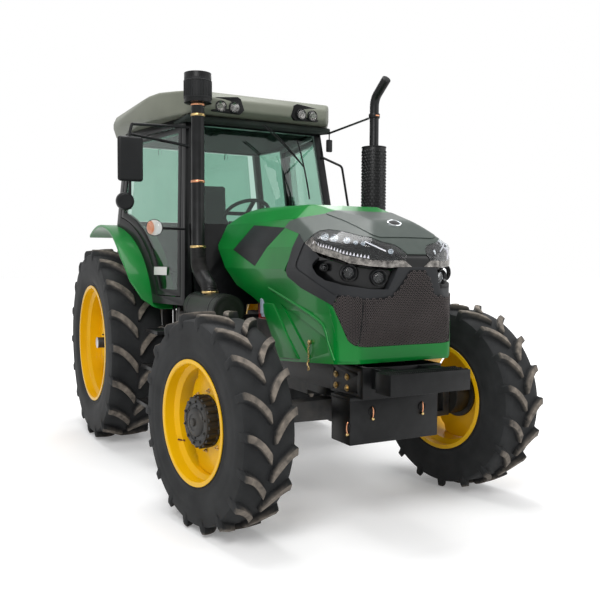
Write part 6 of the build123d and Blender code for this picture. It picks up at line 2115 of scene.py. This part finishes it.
@dataclass
class Seat(Section):
    """Driver's seat: a moulded pedestal and two upholstered cushions that swell under their covers."""

    most_swell: float = 0.022
    voxel: float = 0.008
    pressure: float = 4.0
    frames: int = 20

    def cushion(self, name: str, low: Vector, high: Vector, lean: float) -> Piece:
        """Blow a cushion up inside its cover.

        Args:
            name: Name of the piece.
            low: Lowest corner of the slack cushion, in metres.
            high: Its highest corner.
            lean: How far it leans back for each metre of height.

        Returns:
            The cushion.
        """
        pad = slab(name, low, high, 34.0, 4)
        remesh = pad.modifiers.new("Remesh", "REMESH")
        remesh.mode = "VOXEL"
        remesh.voxel_size = self.voxel
        applied(pad)
        rest = [vertex.co.copy() for vertex in pad.data.vertices]
        cloth = pad.modifiers.new("Cloth", "CLOTH")
        cloth.settings.use_pressure = True
        cloth.settings.uniform_pressure_force = self.pressure
        cloth.settings.effector_weights.gravity = 0.0
        for frame in range(1, self.frames + 1):
            bpy.context.scene.frame_set(frame)
        graph = bpy.context.evaluated_depsgraph_get()
        swollen = [vertex.co.copy() for vertex in pad.evaluated_get(graph).data.vertices]
        pad.modifiers.clear()
        bpy.context.scene.frame_set(1)
        for vertex, start, end in zip(pad.data.vertices, rest, swollen):
            move = end - start
            share = min(1.0, self.most_swell / max(move.length, 1e-9))
            spot = start + move * share
            spot.y += (spot.z - low.z) * lean
            vertex.co = spot
        subdivision = pad.modifiers.new("Subdivision", "SUBSURF")
        subdivision.levels = subdivision.render_levels = 1
        return smoothed(applied(pad), 80.0)

    def build(self) -> None:
        """Build the pedestal, its tray, the cushions and the arm rests."""
        foot = slab("seat_pedestal", self.at(-170, 2160, 1330), self.at(170, 2490, 1690), 18.0, 3)
        self.put(foot, CONSOLE_PLASTIC, "interior_plastic")
        tray = slab("seat_tray", self.at(-235, 2095, 1686), self.at(235, 2560, 1716), 12.0, 3)
        self.put(tray, BLACK_PLASTIC, "interior_plastic", "seat")
        for name, low, high, lean in (
            ("seat_cushion", self.at(-228, 2104, 1712), self.at(228, 2530, 1800), 0.0),
            ("seat_back", self.at(-208, 2492, 1836), self.at(208, 2560, 2350), 0.14),
        ):
            pad = self.cushion(name, low, high, lean)
            self.put(pad, SEAT_CLOTH, "seat_fabric")
        for name, side in SIDES:
            for part, x, half, low, high, edge, segments, finish in (
                ("rest", 262, 28, (2200, 1930), (2500, 1972), 16.0, 4, CONSOLE_PLASTIC),
                ("post", 248, 14, (2440, 1800), (2480, 1936), 6.0, 2, BLACK_PLASTIC),
            ):
                corners = self.line((side * x - half, *low), (side * x + half, *high))
                self.put(slab(f"arm_{part}_{name}", *corners, edge, segments), finish, "interior_plastic")


# ---- Studio -------------------------------------------------------------------------------------
def seen_directly(tree: Tree) -> Node:
    """Add a value that is 1 for camera, gloss and glass rays and 0 for the rest."""
    ray = add_node(tree, "ShaderNodeLightPath").outputs
    seen = add_node(tree, "ShaderNodeMath", {0: ray["Is Camera Ray"], 1: ray["Is Glossy Ray"]}, operation="ADD")
    return add_node(
        tree, "ShaderNodeMath", {0: seen, 1: ray["Is Transmission Ray"]}, operation="ADD", use_clamp=True
    )


@dataclass(frozen=True)
class StudioFloor(Finish):
    """Matt white studio floor: it keeps the tractor's soft shadow and stays white to the camera."""

    near_glow: float = 0.2
    far_glow: float = 0.85

    def dress(self, tree: Tree, shader: Node, place: Socket) -> None:
        """Add a glow that only the camera, gloss and glass see, weak near the tractor and strong 8 m away."""
        away = add_node(tree, "ShaderNodeVectorMath", {0: place}, operation="LENGTH")
        glow = add_node(
            tree, "ShaderNodeMapRange",
            {"Value": away.outputs["Value"], "From Min": 2.2, "From Max": 8.0, "To Min": self.near_glow,
             "To Max": self.far_glow}, interpolation_type="SMOOTHSTEP",
        )
        lit = add_node(tree, "ShaderNodeMath", {0: seen_directly(tree), 1: glow}, operation="MULTIPLY")
        fill(tree, shader, {
            "Base Color": linear(self.colour), "Roughness": 0.95, "Specular IOR Level": 0.1,
            "Emission Color": WHITE, "Emission Strength": lit,
        })


@dataclass
class Studio:
    """White floor and sky, soft lamps, and the camera."""

    layout: Layout
    eye: Point = (-2.59499, -5.60301, 1.61088)
    yaw: float = -27.904
    pitch: float = 2.948
    roll: float = 0.2972
    lens: float = 45.064
    ambient: float = 0.45

    def build(self) -> None:
        """Lay the floor, light the world, hang the lamps and set the camera up."""
        self.floor()
        self.sky()
        for name, place, target, size, power in (
            ("key", (-4.5, -6.0, 6.5), (0.0, -0.5, 1.2), 3.5, 360.0),
            ("fill", (5.5, -5.0, 4.0), (0.0, -0.5, 1.2), 4.5, 120.0),
            ("top", (0.0, 0.5, 8.0), (0.0, 0.0, 1.0), 5.0, 420.0),
            ("back", (3.0, 7.0, 5.0), (0.0, 0.0, 1.6), 4.0, 160.0),
        ):
            self.lamp(name, Vector(place), Vector(target), size, power)
        self.camera()
        bpy.context.scene.view_settings.view_transform = "Standard"

    def floor(self) -> None:
        """Lay a white floor far past the view."""
        reach = 60.0
        floor = mesh_from("floor", [(-reach, -reach, 0), (reach, -reach, 0), (reach, reach, 0), (-reach, reach, 0)],
                          [(0, 1, 2, 3)])
        floor.data.materials.append(StudioFloor("Matt white studio floor", "f2f2f2").material())

    def sky(self) -> None:
        """Make the world white to camera, gloss and glass, and an even soft light to the rest."""
        world = bpy.data.worlds.new("Studio")
        bpy.context.scene.world = world
        world.use_nodes = True
        tree = world.node_tree
        tree.nodes.clear()
        strength = add_node(
            tree, "ShaderNodeMapRange", {"Value": seen_directly(tree), "To Min": self.ambient, "To Max": 1.0}
        )
        light = add_node(tree, "ShaderNodeBackground", {"Color": WHITE, "Strength": strength})
        add_node(tree, "ShaderNodeOutputWorld", {"Surface": light})

    def lamp(self, name: str, place: Vector, target: Vector, size: float, power: float) -> None:
        """Hang one soft square lamp.

        Args:
            name: Name of the lamp.
            place: Where it hangs, in metres.
            target: Point that it faces.
            size: Width in metres.
            power: Watts.
        """
        data = bpy.data.lights.new(name, "AREA")
        data.shape = "SQUARE"
        data.size = size
        data.energy = power
        lamp = bpy.data.objects.new(name, data)
        bpy.context.collection.objects.link(lamp)
        lamp.visible_transmission = False
        lamp.location = place
        lamp.rotation_mode = "QUATERNION"
        lamp.rotation_quaternion = (target - place).to_track_quat("-Z", "Y")

    def camera(self) -> None:
        """Set the camera at eye height in front of the tractor's right-hand corner."""
        turn, tilt, lean = (math.radians(v) for v in (self.yaw, self.pitch, self.roll))
        back = Vector((math.sin(turn) * math.cos(tilt), -math.cos(turn) * math.cos(tilt), math.sin(tilt)))
        right = Vector((math.cos(turn), math.sin(turn), 0.0))
        up = back.cross(right)
        rolled_right = right * math.cos(lean) + up * math.sin(lean)
        rolled_up = up * math.cos(lean) - right * math.sin(lean)
        data = bpy.data.cameras.new("camera")
        data.lens = self.lens
        data.sensor_width = 36.0
        data.clip_end = 200.0
        camera = bpy.data.objects.new("camera", data)
        bpy.context.collection.objects.link(camera)
        camera.matrix_world = Matrix.Translation(self.eye) @ Matrix(
            (rolled_right, rolled_up, back)
        ).transposed().to_4x4()
        bpy.context.scene.camera = camera


def main() -> None:
    """Build the whole scene."""
    logging.basicConfig(level=logging.INFO, format="%(name)s: %(message)s")
    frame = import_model()
    layout = Layout(frame)
    shop = Workshop()
    Structure(layout, shop).build()
    for side in ("left", "right"):
        for wheel in (
            FrontWheel(
                layout, shop, "front", side, radius=0.655, width=0.344, flange_radius=0.376, rim_width=0.336,
                lug_height=0.036, disc_offset=0.050,
            ),
            RearWheel(
                layout, shop, "rear", side, radius=0.858, width=0.450, flange_radius=0.524, rim_width=0.412,
                lug_height=0.044, disc_offset=0.020,
            ),
        ):
            wheel.tyre()
            wheel.rim()
            wheel.hub()
    for section in (Nose, SidePanels, Stacks, Fittings, Cab, Seat):
        section(layout, shop).build()
    Studio(layout).build()
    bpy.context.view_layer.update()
    LOG.info("%d pieces made", shop.made)


if __name__ == "__main__":
    main()
